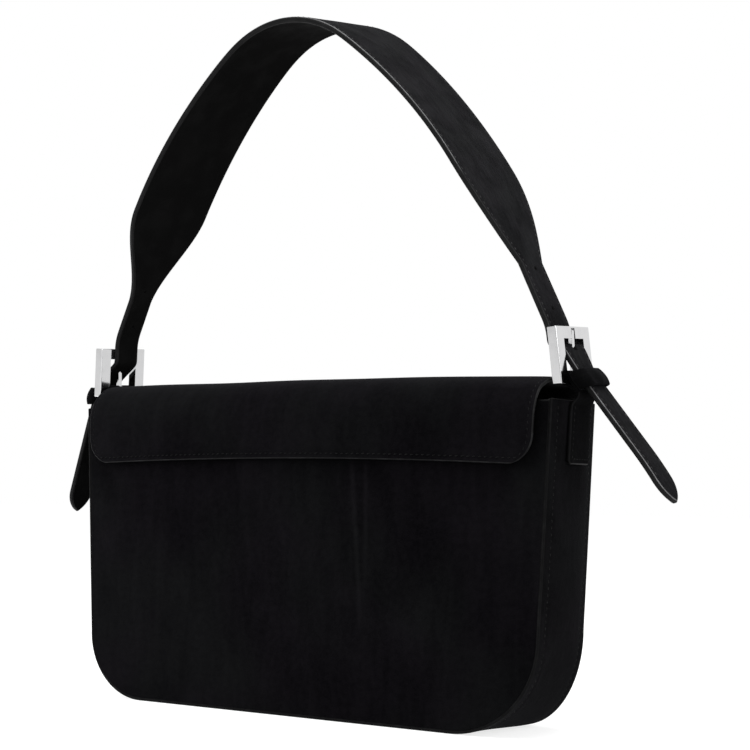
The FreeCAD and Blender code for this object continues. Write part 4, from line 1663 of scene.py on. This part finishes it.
@dataclass
class Strap:
    """Two-ply strap: wide over the shoulder, narrow through the buckles, with pointed tails."""

    buckle: BuckleFrame = field(default_factory=BuckleFrame)
    wide: float = 53.6
    narrow: float = 15.5
    outer_ply: float = 1.35
    inner_ply: float = 1.3
    peak_rise: float = 197.3
    peak_x: float = -1.2
    shoulder_rise: float = 129.4
    shoulder_half: dict[Side, float] = by_side(81.3, 78.4)
    crown_radius: float = 52.0
    shoulder_radius: float = 270.0
    foot_radius: float = 25.0
    bend_radius: float = 2.5
    turn_radius: float = 3.0
    knee_radius: float = 9.0
    turn_out: dict[Side, float] = by_side(1.0, 6.0)
    knee_below: float = 3.0
    dive_deg: dict[Side, float] = by_side(20.0, 42.0)
    bar_clearance: float = 0.5
    run_gap: dict[Side, float] = by_side(1.1, 0.3)
    tail_offset: dict[Side, float] = by_side(5.9, 8.875)
    tail_angle_deg: dict[Side, float] = by_side(37.2, 20.0)
    tail_length: float = 71.3
    tail_point: float = 12.0
    tail_droop: dict[Side, float] = by_side(2.0, 0.0)
    droop_reach: float = 26.0
    neck_extra: dict[Side, float] = by_side(3.8, 0.0)
    narrow_run: dict[Side, float] = by_side(31.5, 22.5)
    flare: dict[Side, float] = by_side(52.0, 50.0)
    flare_snap: dict[Side, float] = by_side(1.0, 0.15)
    foot_rise: dict[Side, float] = by_side(0.0, 4.0)
    crown_tilt_deg: float = 5.3
    foot_yaw_deg: float = 4.4
    crown_yaw_deg: float = 2.4
    first_hole: float = 8.0
    hole_pitch: float = 20.0
    hole_radius: float = 1.15
    slot_half: float = 1.35
    slot_out: tuple[float, float] = (-0.5, 1.8)
    row_inset: float = 2.3
    row_depth: float = 0.16
    edge_out: float = 0.7
    edge_fall: float = 0.28
    uneven: float = 0.12
    soft_reach: float = 7.0
    crisp_reach: float = 0.7
    neck_fade: float = 16.0
    yaw_run: float = 60.0
    fine_extra: float = 20.0
    fine_step: float = 0.72
    coarse_step: float = 1.9
    step: float = 0.25

    def corners(self, side: Side) -> list[Array]:
        """Corner points of one half, drawn on the right side.

        Args:
            side: The half.

        Returns:
            Points from the peak to the tail's tip, as (X, Z).
        """
        buckle = self.buckle
        run_out = -buckle.thickness / 2.0 - self.run_gap[side] - self.outer_ply
        dive = math.radians(self.dive_deg[side])
        under = buckle.window_top - self.bar_clearance - self.outer_ply / math.cos(dive)
        tail, way = buckle.tail_line(self.tail_angle_deg[side], self.tail_offset[side])
        turn_out = self.turn_out[side]
        knee, tip = tail + way * self.knee_below, tail + way * self.tail_length
        return [
            np.array([self.peak_x * side.value, buckle.swing_z + self.peak_rise]),
            np.array([self.shoulder_half[side], buckle.swing_z + self.shoulder_rise]),
            buckle.point(run_out, buckle.top + self.bar_clearance + self.foot_rise[side]),
            buckle.point(run_out, under),
            buckle.point(turn_out, under - math.tan(dive) * (turn_out - run_out)),
            buckle.point(*knee),
            buckle.point(*tip),
        ]

    def path(self) -> Array:
        """Middle line of the strap.

        Returns:
            Points from the right tail's tip to the left one's, as (X, Z).
        """
        right, left = self.corners(Side.RIGHT), self.corners(Side.LEFT)
        mirror = np.array([-1.0, 1.0])
        points = right[:0:-1] + [right[0]] + [point * mirror for point in left[1:]]
        half = [self.knee_radius, self.turn_radius, self.bend_radius, self.foot_radius, self.shoulder_radius]
        line = rounded_path(points, half + [self.crown_radius] + half[::-1], self.step)
        lengths = path_lengths(line)
        soft = smoothed(line, self.soft_reach, self.step)
        crisp = smoothed(line, self.crisp_reach, self.step)
        foot = max(self.foot_length(side) for side in Side)
        from_end = np.minimum(lengths, lengths[-1] - lengths)
        share = eased((from_end - foot - 6.0) / 24.0)[:, None]
        return crisp * (1.0 - share) + soft * share + self.droop(lengths)

    def droop(self, lengths: Array) -> Array:
        """Fall of the tails' ends under their own weight.

        Args:
            lengths: Distances from the right tail's tip.

        Returns:
            Moves as (X, Z).
        """
        fall = np.zeros((len(lengths), 2))
        for side, run in ((Side.RIGHT, lengths), (Side.LEFT, lengths[-1] - lengths)):
            angle = math.radians(self.tail_angle_deg[side])
            way = np.array([-math.cos(angle) * side.value, -math.sin(angle)])
            share = np.clip(1.0 - run / self.droop_reach, 0.0, 1.0)
            fall += self.tail_droop[side] * share[:, None] ** 2 * way
        return fall

    def foot_length(self, side: Side) -> float:
        """Length from a tail's tip to the point just above its buckle."""
        corners = self.corners(side)
        return float(sum(np.linalg.norm(a - b) for a, b in zip(corners[2:], corners[3:])))

    def half_width(self, places: Array, total: float) -> Array:
        """Half width of the strap.

        Args:
            places: Distances from the right tail's tip.
            total: Length of the whole strap.

        Returns:
            Half widths.
        """
        half = np.full(places.shape, self.wide / 2.0)
        for side, run in ((Side.RIGHT, places), (Side.LEFT, total - places)):
            start = self.foot_length(side) + self.narrow_run[side]
            opened = np.clip((run - start) / self.flare[side], 0.0, 1.0)
            snap = self.flare_snap[side]
            widening = eased(opened) * (1.0 - snap) + np.sin(opened * math.pi / 2.0) * snap
            on_neck = eased((run - self.tail_length + 4.0) / self.neck_fade)
            narrow = self.narrow + self.neck_extra[side] * on_neck
            end_half = (narrow + (self.wide - narrow) * widening) / 2.0
            left = 1.0 - np.clip(run / self.tail_point, 0.0, 1.0)
            pointed = 0.55 * (1.0 - left**2.3) + 0.45 * np.sqrt(1.0 - left**2)
            half = np.minimum(half, end_half * pointed)
        return half

    def rows(self, lengths: Array) -> Array:
        """Places of the grid's rows, close together at the ends and wider over the shoulder.

        Args:
            lengths: Length to each point of the middle line.

        Returns:
            Distances from the right tail's tip.
        """
        narrow_end = max(self.foot_length(side) + self.narrow_run[side] for side in Side)
        fine_end = narrow_end + self.fine_extra
        tip = np.array([0.12, 0.35, 0.7, 1.15, 1.7])
        ends = np.concatenate([tip, np.arange(2.4, fine_end, self.fine_step)])
        room = lengths[-1] - 2.0 * fine_end
        count = math.floor(room / self.coarse_step)
        middle = fine_end + np.arange(1, count) * (room / count)
        return np.concatenate([ends, middle, lengths[-1] - ends[::-1]])

    def frames(self, places: Array) -> tuple[Array, Array, Array]:
        """Middle points, across and outward directions at places along the strap.

        Args:
            places: Distances from the right tail's tip.

        Returns:
            Three arrays of 3-D vectors, in the upright strap's frame.
        """
        line = self.path()
        lengths = path_lengths(line)
        total = lengths[-1]
        ways = unit(np.gradient(line, axis=0))
        flat = sampled(line, lengths, places)
        way = unit(sampled(ways, lengths, places))
        zero = np.zeros(len(places))
        middle = np.stack([flat[:, 0], zero, flat[:, 1]], axis=1)
        outward = np.stack([way[:, 1], zero, -way[:, 0]], axis=1)
        from_end = np.minimum(places, total - places)
        start = max(self.foot_length(side) + self.narrow_run[side] + self.flare[side] for side in Side)
        tilt = math.radians(self.crown_tilt_deg) * eased((from_end - start) / (total / 2.0 - start))
        upper = eased((from_end - max(self.foot_length(side) for side in Side)) / self.yaw_run)
        yaw = np.radians(self.foot_yaw_deg + (self.crown_yaw_deg - self.foot_yaw_deg) * upper)
        across = np.stack([np.sin(yaw), np.cos(yaw), zero], axis=1)
        outward = unit(outward - across * (outward * across).sum(axis=1, keepdims=True))
        tilted = across * np.cos(tilt)[:, None] + outward * np.sin(tilt)[:, None]
        normal = outward * np.cos(tilt)[:, None] - across * np.sin(tilt)[:, None]
        return middle, tilted, normal

    def surface(self, places: Array, offsets: Array, shifts: Array | float = 0.0) -> Array:
        """Outer face of the strap, in the bag's frame.

        Args:
            places: Distances from the right tail's tip, one for each row.
            offsets: Distances across, rows by columns.
            shifts: Small distances along the strap, rows by columns.

        Returns:
            Grid of points.
        """
        middle, across, normal = self.frames(places)
        total = path_lengths(self.path())[-1]
        gap = self.half_width(places, total)[:, None] - np.abs(offsets)
        relief = -self.edge_fall * np.exp(-np.maximum(gap, 0.0))
        relief = relief - groove(np.abs(gap - self.row_inset), self.row_depth, 0.7)
        relief = relief + self.uneven * waves(places[:, None], offsets, 48.0, 9) * eased(gap / 8.0)
        height = self.outer_ply + relief
        along = np.cross(normal, across)
        shifts = np.broadcast_to(shifts, offsets.shape)
        grid = middle[:, None] + across[:, None] * offsets[..., None] + normal[:, None] * height[..., None]
        return self.buckle.leaned(grid + along[:, None] * shifts[..., None])

    def hole_places(self, total: float) -> list[float]:
        """Places of the spare holes.

        Args:
            total: Length of the whole strap.

        Returns:
            Distances from the right tail's tip.
        """
        steps = [self.first_hole + index * self.hole_pitch for index in range(2)]
        right = [self.foot_length(Side.RIGHT) + step for step in steps]
        return right + [total - self.foot_length(Side.LEFT) - step for step in steps]

    def build(self, finishes: Finishes) -> None:
        """Makes the strap and its sewn rows.

        Args:
            finishes: The finishes.
        """
        line = self.path()
        lengths = path_lengths(line)
        total = float(lengths[-1])
        places = self.rows(lengths)
        side = np.array([0.08, 0.158, 0.29, 0.43, 0.56, 0.67, 0.77, 0.855, 0.915, 0.955, 0.982, 1.0])
        share = np.concatenate([-side[::-1], [0.0], side])
        lip = (self.outer_ply + self.inner_ply) / 2.0 * self.edge_out
        offsets = np.maximum(self.half_width(places, total) - lip, 0.15)[:, None] * share[None, :]
        shifts = np.zeros_like(offsets)
        kept = self.kept_cells(places, offsets, line, lengths)
        for hole in self.hole_places(total):
            self.punch(places, offsets, shifts, kept, hole)
        sheet = Sheet(
            self.surface(places, offsets, shifts),
            self.outer_ply + self.inner_ply,
            kept=kept,
            edge_out=self.edge_out,
            parted=True,
            flip=True,
        )
        skins = (finishes.strap, finishes.strap_lining, finishes.edge, finishes.crest)
        piece = sheet.build("strap_two_ply", *skins)
        ride(piece, Body.STRAP, "strap_leather", "strap_outer", "strap_lining")
        thread = self.stitches(total)
        ride(thread.build("strap_stitches", finishes.strap_thread_highlit), Body.STRAP, "strap_leather")

    def kept_cells(self, places: Array, offsets: Array, line: Array, lengths: Array) -> Array:
        """Cells of the strap, open at the two slots that the prongs pass.

        Args:
            places: Places of the rows.
            offsets: Offsets of the points across.
            line: Points of the middle line.
            lengths: Length to each of them.

        Returns:
            Mask of the cells that are covered.
        """
        kept = np.ones((len(places) - 1, offsets.shape[1] - 1), bool)
        middle = (places[1:] + places[:-1]) / 2.0
        flat = sampled(line, lengths, middle)
        lean = math.radians(self.buckle.lean_deg)
        x, z = np.abs(flat[:, 0]) - self.buckle.bar_x, flat[:, 1] - self.buckle.bar_z
        out = x * math.cos(lean) + z * math.sin(lean)
        up = z * math.cos(lean) - x * math.sin(lean)
        low, high = self.slot_out
        rows = (out > low) & (out < high) & (up > self.buckle.loop_radius) & (up < self.buckle.window_top)
        across = np.abs((offsets[1:, 1:] + offsets[:-1, :-1]) / 2.0)
        kept[rows[:, None] & (across < self.slot_half)] = False
        return kept

    def punch(self, places: Array, offsets: Array, shifts: Array, kept: Array, hole: float) -> None:
        """Opens one round hole, drawing the grid's points onto its rim in place.

        Args:
            places: Places of the rows.
            offsets: Offsets of the points across.
            shifts: Shifts of the points along.
            kept: Mask of cells.
            hole: Place of the hole.
        """
        along = np.broadcast_to((places - hole)[:, None], offsets.shape)
        away = np.hypot(along, offsets)
        cells = (away[1:, 1:] + away[:-1, :-1] + away[1:, :-1] + away[:-1, 1:]) / 4.0
        opened = cells < self.hole_radius
        kept &= ~opened
        touched = np.zeros(offsets.shape, int)
        for rows in (slice(None, -1), slice(1, None)):
            for columns in (slice(None, -1), slice(1, None)):
                touched[rows, columns] += opened
        rim = (touched > 0) & (touched < 4)
        stretch = self.hole_radius / np.maximum(away[rim], 0.1)
        shifts[rim] = along[rim] * (stretch - 1.0)
        offsets[rim] *= stretch

    def stitches(self, total: float) -> Stitching:
        """Rows along both edges of the strap, on its outer face.

        Args:
            total: Length of the whole strap.

        Returns:
            The stitching.
        """
        thread = Stitching(pitch=3.1)
        places = np.linspace(self.tail_point, total - self.tail_point, 1400)
        half = self.half_width(places, total) - self.row_inset
        edges = self.surface(places, np.stack([-half, half], axis=1))
        _, _, normal = self.frames(places)
        swing = np.array([0.0, 0.0, self.buckle.swing_z])
        outward = self.buckle.leaned(normal + swing) - swing
        for column in range(2):
            thread.sew(edges[:, column], outward)
        return thread


@dataclass
class AnchorTab:
    """Suede tab sewn to a gusset end and folded round its buckle's bar."""

    side: Side
    outline: Outline = field(default_factory=Outline)
    buckle: BuckleFrame = field(default_factory=BuckleFrame)
    patch_half: float = 10.2
    neck_half: float = 9.5
    patch_drop: float = 27.5
    shoulder_drop: float = 2.6
    patch_thickness: float = 2.4
    ply: float = 1.2
    corner_radius: float = 2.2
    slot_half: float = 1.9
    row_inset: float = 1.9
    row_side: float = 2.3
    row_depth: float = 0.16
    edge_fall: float = 0.3
    gusset_bulge: float = 2.0
    gusset_half: float = 23.25
    neck_out: float = 2.3
    neck_bow: tuple[tuple[float, float], ...] = ((1.8, 0.75), (3.6, 1.0), (5.6, 0.75))
    fold_end: tuple[tuple[float, float], ...] = ((0.9, -4.0), (2.9, -5.4), (4.1, -6.7))
    bend_low: float = 143.5
    bend_high: float = 150.5

    def path(self) -> Array:
        """Side view of the tab's outer face, on the right side.

        Returns:
            Points from the patch's foot to the end of the fold, as (X, Z).
        """
        up_way = np.array([math.sin(self.outline.slope), math.cos(self.outline.slope)])
        out_way = np.array([math.cos(self.outline.slope), -math.sin(self.outline.slope)])
        mouth = np.array([self.outline.mouth_half, self.outline.height])
        face = mouth + out_way * (self.patch_thickness + self.gusset_bulge)
        points = [face - up_way * self.patch_drop, face - up_way * 8.0, face - up_way * 1.0]
        points += [face + up_way * rise + out_way * self.neck_out * share for rise, share in self.neck_bow]
        radius = self.buckle.loop_radius
        for turn in range(-15, 256, 15):
            angle = math.radians(turn)
            points.append(self.buckle.point(radius * math.cos(angle), radius * math.sin(angle)))
        points += [self.buckle.point(out, up) for out, up in self.fold_end]
        return smoothed(resampled(np.array(points), 0.2), 0.55, 0.2)

    def build(self, finishes: Finishes) -> None:
        """Makes the tab and its stitches, bending at the neck.

        Args:
            finishes: The finishes.
        """
        line = self.path()
        lengths = path_lengths(line)
        lip = self.ply / 2.0 * Sheet.edge_out
        on_patch = lip + spaced(self.patch_drop - 4.0, 1.2)
        stops = np.concatenate([on_patch, np.arange(self.patch_drop - 2.6, lengths[-1], 0.6)])
        flat = sampled(line, lengths, stops)
        half = self.half_width(stops) - lip
        share = np.concatenate([-self.columns()[::-1], [0.0], self.columns()])
        y = half[:, None] * share[None, :]
        height = self.patch_relief(stops, y, half)
        ways = unit(np.gradient(flat, axis=0))
        outward = np.stack([ways[:, 1], -ways[:, 0]], axis=1)
        shaped = flat[:, None] + outward[:, None] * height[..., None]
        lean = eased((flat[:, 1] - self.bend_low) / (self.bend_high - self.bend_low))[:, None, None]
        grid = np.stack([shaped[..., 0], y, shaped[..., 1]], axis=2)
        grid = grid * (1.0 - lean) + self.buckle.leaned(grid) * lean
        grid[..., 0] *= self.side.value
        thinned = eased((stops - self.patch_drop + 6.0) / 7.0)
        thick = self.patch_thickness + (self.ply - self.patch_thickness) * thinned
        kept = self.kept_cells(stops, y, flat)
        mirrored = self.side is Side.LEFT
        sheet = Sheet(grid, thick, flip=not mirrored, kept=kept)
        name = "anchor_tab_" + self.side.word
        piece = sheet.build(name, finishes.fitting, finishes.fitting, finishes.rim)
        for face in piece.data.polygons:
            if face.center.z > self.bend_high * MM:
                face.material_index = 0
        self.bend(piece)
        declare(piece, "tab_suede", "tab_patch_" + self.side.word, "tab_loop_" + self.side.word)
        thread = self.stitches(grid, sheet.normals(), stops, y)
        stitches = thread.build(name + "_stitches", finishes.thread)
        self.bend(stitches)
        declare(stitches, "tab_suede")

    @staticmethod
    def columns() -> Array:
        """Places across one half of the tab, as shares of the half width."""
        return np.array([0.14, 0.31, 0.46, 0.6, 0.73, 0.84, 0.92, 0.97, 1.0])

    def half_width(self, stops: Array) -> Array:
        """Half width of the tab.

        Args:
            stops: Distances from the patch's foot.

        Returns:
            Half widths.
        """
        shoulder = self.patch_drop - self.shoulder_drop
        narrowing = eased((stops - shoulder) / (self.shoulder_drop + 1.2))
        half = self.patch_half + (self.neck_half - self.patch_half) * narrowing
        short = np.clip(self.corner_radius - stops, 0.0, self.corner_radius)
        return half - self.corner_radius + np.sqrt(self.corner_radius**2 - short**2)

    def patch_relief(self, stops: Array, y: Array, half: Array) -> Array:
        """Edges that fall away and the sewn row.

        Args:
            stops: Distances from the patch's foot.
            y: Places across, rows by columns.
            half: Half width of each row.

        Returns:
            Height over the flat form, rows by columns.
        """
        gap = np.minimum(half[:, None] - np.abs(y), stops[:, None])
        on_patch = eased((self.patch_drop - stops) / 3.0)[:, None]
        row = groove(np.abs(gap - self.row_inset), self.row_depth, 0.6)
        bulge = self.gusset_bulge * (y / self.gusset_half) ** 2
        return -self.edge_fall * np.exp(-np.maximum(gap, 0.0) / 0.8) - (row + bulge) * on_patch

    def kept_cells(self, stops: Array, y: Array, flat: Array) -> Array:
        """Cells of the tab, open at the slot that the prong's ring turns in.

        Args:
            stops: Distances from the patch's foot.
            y: Places across, rows by columns.
            flat: Side view of each row.

        Returns:
            Mask of the cells that are covered.
        """
        kept = np.ones((len(stops) - 1, y.shape[1] - 1), bool)
        bar = np.array([self.buckle.bar_x, self.buckle.bar_z])
        near = np.linalg.norm((flat[1:] + flat[:-1]) / 2.0 - bar, axis=1) < self.buckle.loop_radius + 0.5
        across = np.abs((y[1:, 1:] + y[:-1, :-1]) / 2.0)
        kept[near[:, None] & (across < self.slot_half)] = False
        return kept

    def bend(self, piece: Piece) -> None:
        """Bakes a piece's placement into its mesh.

        Args:
            piece: The piece.
        """
        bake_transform(piece)

    def stitches(self, grid: Array, normals: Array, stops: Array, y: Array) -> Stitching:
        """Row of stitches round the patch's sides and foot.

        Args:
            grid: Points of the tab.
            normals: Outward directions of those points.
            stops: Distances of the rows from the patch's foot.
            y: Places across, rows by columns.

        Returns:
            The stitching.
        """
        thread = Stitching(pitch=2.7, length=1.3, radius=0.2)
        first = int(np.argmin(np.abs(stops - self.row_inset)))
        last = int(np.argmin(np.abs(stops - (self.patch_drop - 1.5))))
        reach = self.patch_half - self.row_side
        near, far = (int(np.argmin(np.abs(y[last // 2] - place))) for place in (-reach, reach))
        rows = np.arange(last, first, -1)
        steps = [(i, near) for i in rows]
        steps += [(first, j) for j in np.arange(near, far + 1)]
        steps += [(i, far) for i in rows[::-1]]
        path = np.array([grid[i, j] for i, j in steps])
        thread.sew(path, np.array([normals[i, j] for i, j in steps]))
        return thread


@dataclass
class Keeper:
    """Soft suede loop that holds a tail below its buckle."""

    side: Side
    strap: Strap
    length: float = 8.8
    wall: float = 1.25
    below_bar: float = 5.4
    half: float = 9.3
    inner: float = 2.75
    outer: float = 2.35
    corner_radius: float = 2.5
    puff: float = 1.4
    skew: float = 0.4

    def build(self, finishes: Finishes) -> None:
        """Makes the loop.

        Args:
            finishes: The finishes.
        """
        buckle = self.strap.buckle
        tail, way = buckle.tail_line(self.strap.tail_angle_deg[self.side], self.strap.tail_offset[self.side])
        centre = tail + way * self.below_bar
        out = np.array([-way[1], way[0]])
        corners = [(0.0, -self.inner), (self.half, -self.inner), (self.half, self.outer)]
        corners += [(-self.half, self.outer), (-self.half, -self.inner), (0.0, -self.inner)]
        ring = rounded_path(corners, (self.corner_radius,) * 4, 0.5)[:-1]
        reach = self.length - self.wall * Sheet.edge_out
        along = spaced(reach, 0.8, 0.2) - reach / 2.0
        share = 2.0 * along / self.length
        outside = eased((ring[:, 1] + self.inner) / (self.outer + self.inner))
        swell = self.puff * (0.25 + 0.75 * outside)[:, None] * (1.0 - share**2)[None, :]
        outward = unit(ring - ring.mean(axis=0))
        rim = ring[:, None] + outward[:, None] * swell[..., None]
        depth, y = rim[..., 1], rim[..., 0]
        flat = centre + out * depth[..., None] + way * (along[None, :] + self.skew * depth)[..., None]
        places = np.array([buckle.point(*pair) for pair in flat.reshape(-1, 2)]).reshape(flat.shape)
        grid = buckle.leaned(np.stack([places[..., 0], y, places[..., 1]], axis=2))
        grid[..., 0] *= self.side.value
        sheet = Sheet(grid, self.wall, ring=True, flip=self.side is Side.RIGHT)
        suede = finishes.fitting
        piece = sheet.build("keeper_loop_" + self.side.word, suede, suede, suede)
        body = Body.KEEPER_RIGHT if self.side is Side.RIGHT else Body.KEEPER_LEFT
        ride(piece, body, "keeper_suede", "keeper_" + self.side.word)


@dataclass
class Metalwork:
    """Buckles, prongs and snap, which keep the frame's own shapes."""

    polished: tuple[str, ...] = ("buckle_frame_right", "buckle_frame_left", "prong_right", "prong_left")
    plated: tuple[str, ...] = ("snap_magnet", "snap_magnet_washer", "snap_plate", "snap_plate_washer")

    def dress(self, finishes: Finishes) -> None:
        """Gives the metal nodes their finishes.

        Args:
            finishes: The finishes.
        """
        for names, material in ((self.polished, finishes.buckle), (self.plated, finishes.snap)):
            for name in names:
                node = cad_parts[name]
                node.data.materials.clear()
                node.data.materials.append(material)
                LOG.info("%s: finish %s", name, material.name)


# Studio


@dataclass(frozen=True)
class Softbox:
    """Square lamp.

    Attributes:
        name: Its name.
        place: Where it hangs, in metres.
        faces: Point that it faces.
        size: Side in metres.
        power: Power in watts.
        mirrored: True where metal mirrors it.
    """

    name: str
    place: tuple[float, float, float]
    faces: tuple[float, float, float]
    size: float
    power: float
    mirrored: bool = True


@dataclass
class Studio:
    """White room, soft lamps and the camera of the photograph."""

    focal_pixels: float = 1575.3
    azimuth_deg: float = 32.5
    pitch_deg: float = -4.17
    roll_deg: float = 0.73
    distance: float = 771.65
    target_right: float = 24.185
    target_up: float = 163.05
    floor_half: float = 6.0
    ambient: float = 0.55
    mirror_front: float = 0.74
    mirror_back: float = 1.03
    floor_glow: float = 0.77
    floor_mirror: float = 0.7
    floor_colour: Colour = (0.45, 0.45, 0.45)
    lamps: tuple[Softbox, ...] = (
        Softbox("lamp_top", (0.1, -0.35, 1.5), (0.0, 0.0, 0.15), 1.1, 14.0),
        Softbox("lamp_right", (1.5, -0.2, 0.8), (0.1, 0.0, 0.2), 0.9, 9.0),
        Softbox("lamp_left", (-0.75, -0.55, 0.4), (-0.06, 0.0, 0.1), 0.6, 8.0, mirrored=False),
    )

    def build(self) -> None:
        """Makes the world, the floor, the lamps and the camera."""
        bpy.context.scene.view_settings.view_transform = "Standard"
        self.build_world()
        self.build_floor()
        for lamp in self.lamps:
            self.hang(lamp)
        self.build_camera()

    def build_world(self) -> None:
        """White to the camera, a little greyer in front of mirrors, and dimmer as a light."""
        world = bpy.data.worlds.new("studio_white")
        bpy.context.scene.world = world
        graph = Graph(world)
        seen = graph.node("ShaderNodeLightPath", output="Is Camera Ray")
        mirrored = graph.node("ShaderNodeLightPath", output="Is Glossy Ray")
        direction = graph.node("ShaderNodeTexCoord", output="Generated")
        back = graph.node("ShaderNodeSeparateXYZ", None, {0: direction}, "Y")
        low, high = self.mirror_front, self.mirror_back
        mirror = (high + low) / 2.0 + (high - low) / 2.0 * back
        strength = self.ambient + (1.0 - self.ambient) * seen + (mirror - self.ambient) * mirrored
        sky = graph.node("ShaderNodeBackground", None, {"Color": (1.0, 1.0, 1.0, 1.0), "Strength": strength})
        graph.node("ShaderNodeOutputWorld", None, {"Surface": sky}, None)

    def build_floor(self) -> None:
        """Pale floor that keeps the bag's shadow."""
        half = self.floor_half / MM
        corners = np.array([(-half, -half, 0.0), (half, -half, 0.0), (half, half, 0.0), (-half, half, 0.0)])
        graph = Paint("studio_floor")
        rays = graph.node("ShaderNodeLightPath", output="Is Camera Ray")
        shine = graph.node("ShaderNodeLightPath", output="Is Glossy Ray")
        share = self.floor_glow * rays + self.floor_mirror * shine
        material = graph.finish(
            Base_Color=self.floor_colour,
            Roughness=0.95,
            Specular_IOR_Level=0.0,
            Emission_Color=graph.mix(share, (0.0, 0.0, 0.0), (1.0, 1.0, 1.0)),
            Emission_Strength=1.0,
        )
        floor = new_object("studio_floor", corners - [0.0, 0.0, 0.2], [(0, 1, 2, 3)], (material,))

    @staticmethod
    def hang(lamp: Softbox) -> None:
        """Hangs one lamp.

        Args:
            lamp: The lamp.
        """
        light = bpy.data.lights.new(lamp.name, "AREA")
        light.shape = "SQUARE"
        light.size = lamp.size
        light.energy = lamp.power
        made = bpy.data.objects.new(lamp.name, light)
        bpy.context.scene.collection.objects.link(made)
        made.location = lamp.place
        made.visible_glossy = lamp.mirrored
        aim = Vector(lamp.faces) - Vector(lamp.place)
        made.rotation_euler = aim.to_track_quat("-Z", "Y").to_euler()

    def build_camera(self) -> None:
        """Places the camera where the photograph was taken from."""
        data = bpy.data.cameras.new("camera")
        data.sensor_width = 36.0
        data.lens = self.focal_pixels / IMAGE_PIXELS * data.sensor_width
        data.clip_start = 0.01
        camera = bpy.data.objects.new("camera", data)
        bpy.context.scene.collection.objects.link(camera)
        azimuth, pitch, roll = (math.radians(v) for v in (self.azimuth_deg, self.pitch_deg, self.roll_deg))
        right = Vector((math.cos(azimuth), math.sin(azimuth), 0.0))
        level = math.cos(pitch)
        back = Vector((math.sin(azimuth) * level, -math.cos(azimuth) * level, math.sin(pitch)))
        up = back.cross(right)
        tilted = right * math.cos(roll) + up * math.sin(roll)
        upright = back.cross(tilted)
        target = right * self.target_right + Vector((0.0, 0.0, self.target_up))
        place = (target + back * self.distance) * MM
        turn = Matrix((tilted, upright, back)).transposed().to_4x4()
        camera.matrix_world = Matrix.Translation(place) @ turn
        bpy.context.scene.camera = camera


def main() -> None:
    """Builds the bag and the studio."""
    logging.basicConfig(level=logging.INFO, format="%(message)s")
    Studio().build()
    finishes = Finishes()
    BagBody().build(finishes)
    Flap().build(finishes)
    strap = Strap()
    strap.build(finishes)
    for side in Side:
        AnchorTab(side).build(finishes)
        Keeper(side, strap).build(finishes)
    Metalwork().dress(finishes)


if __name__ == "__main__":
    main()
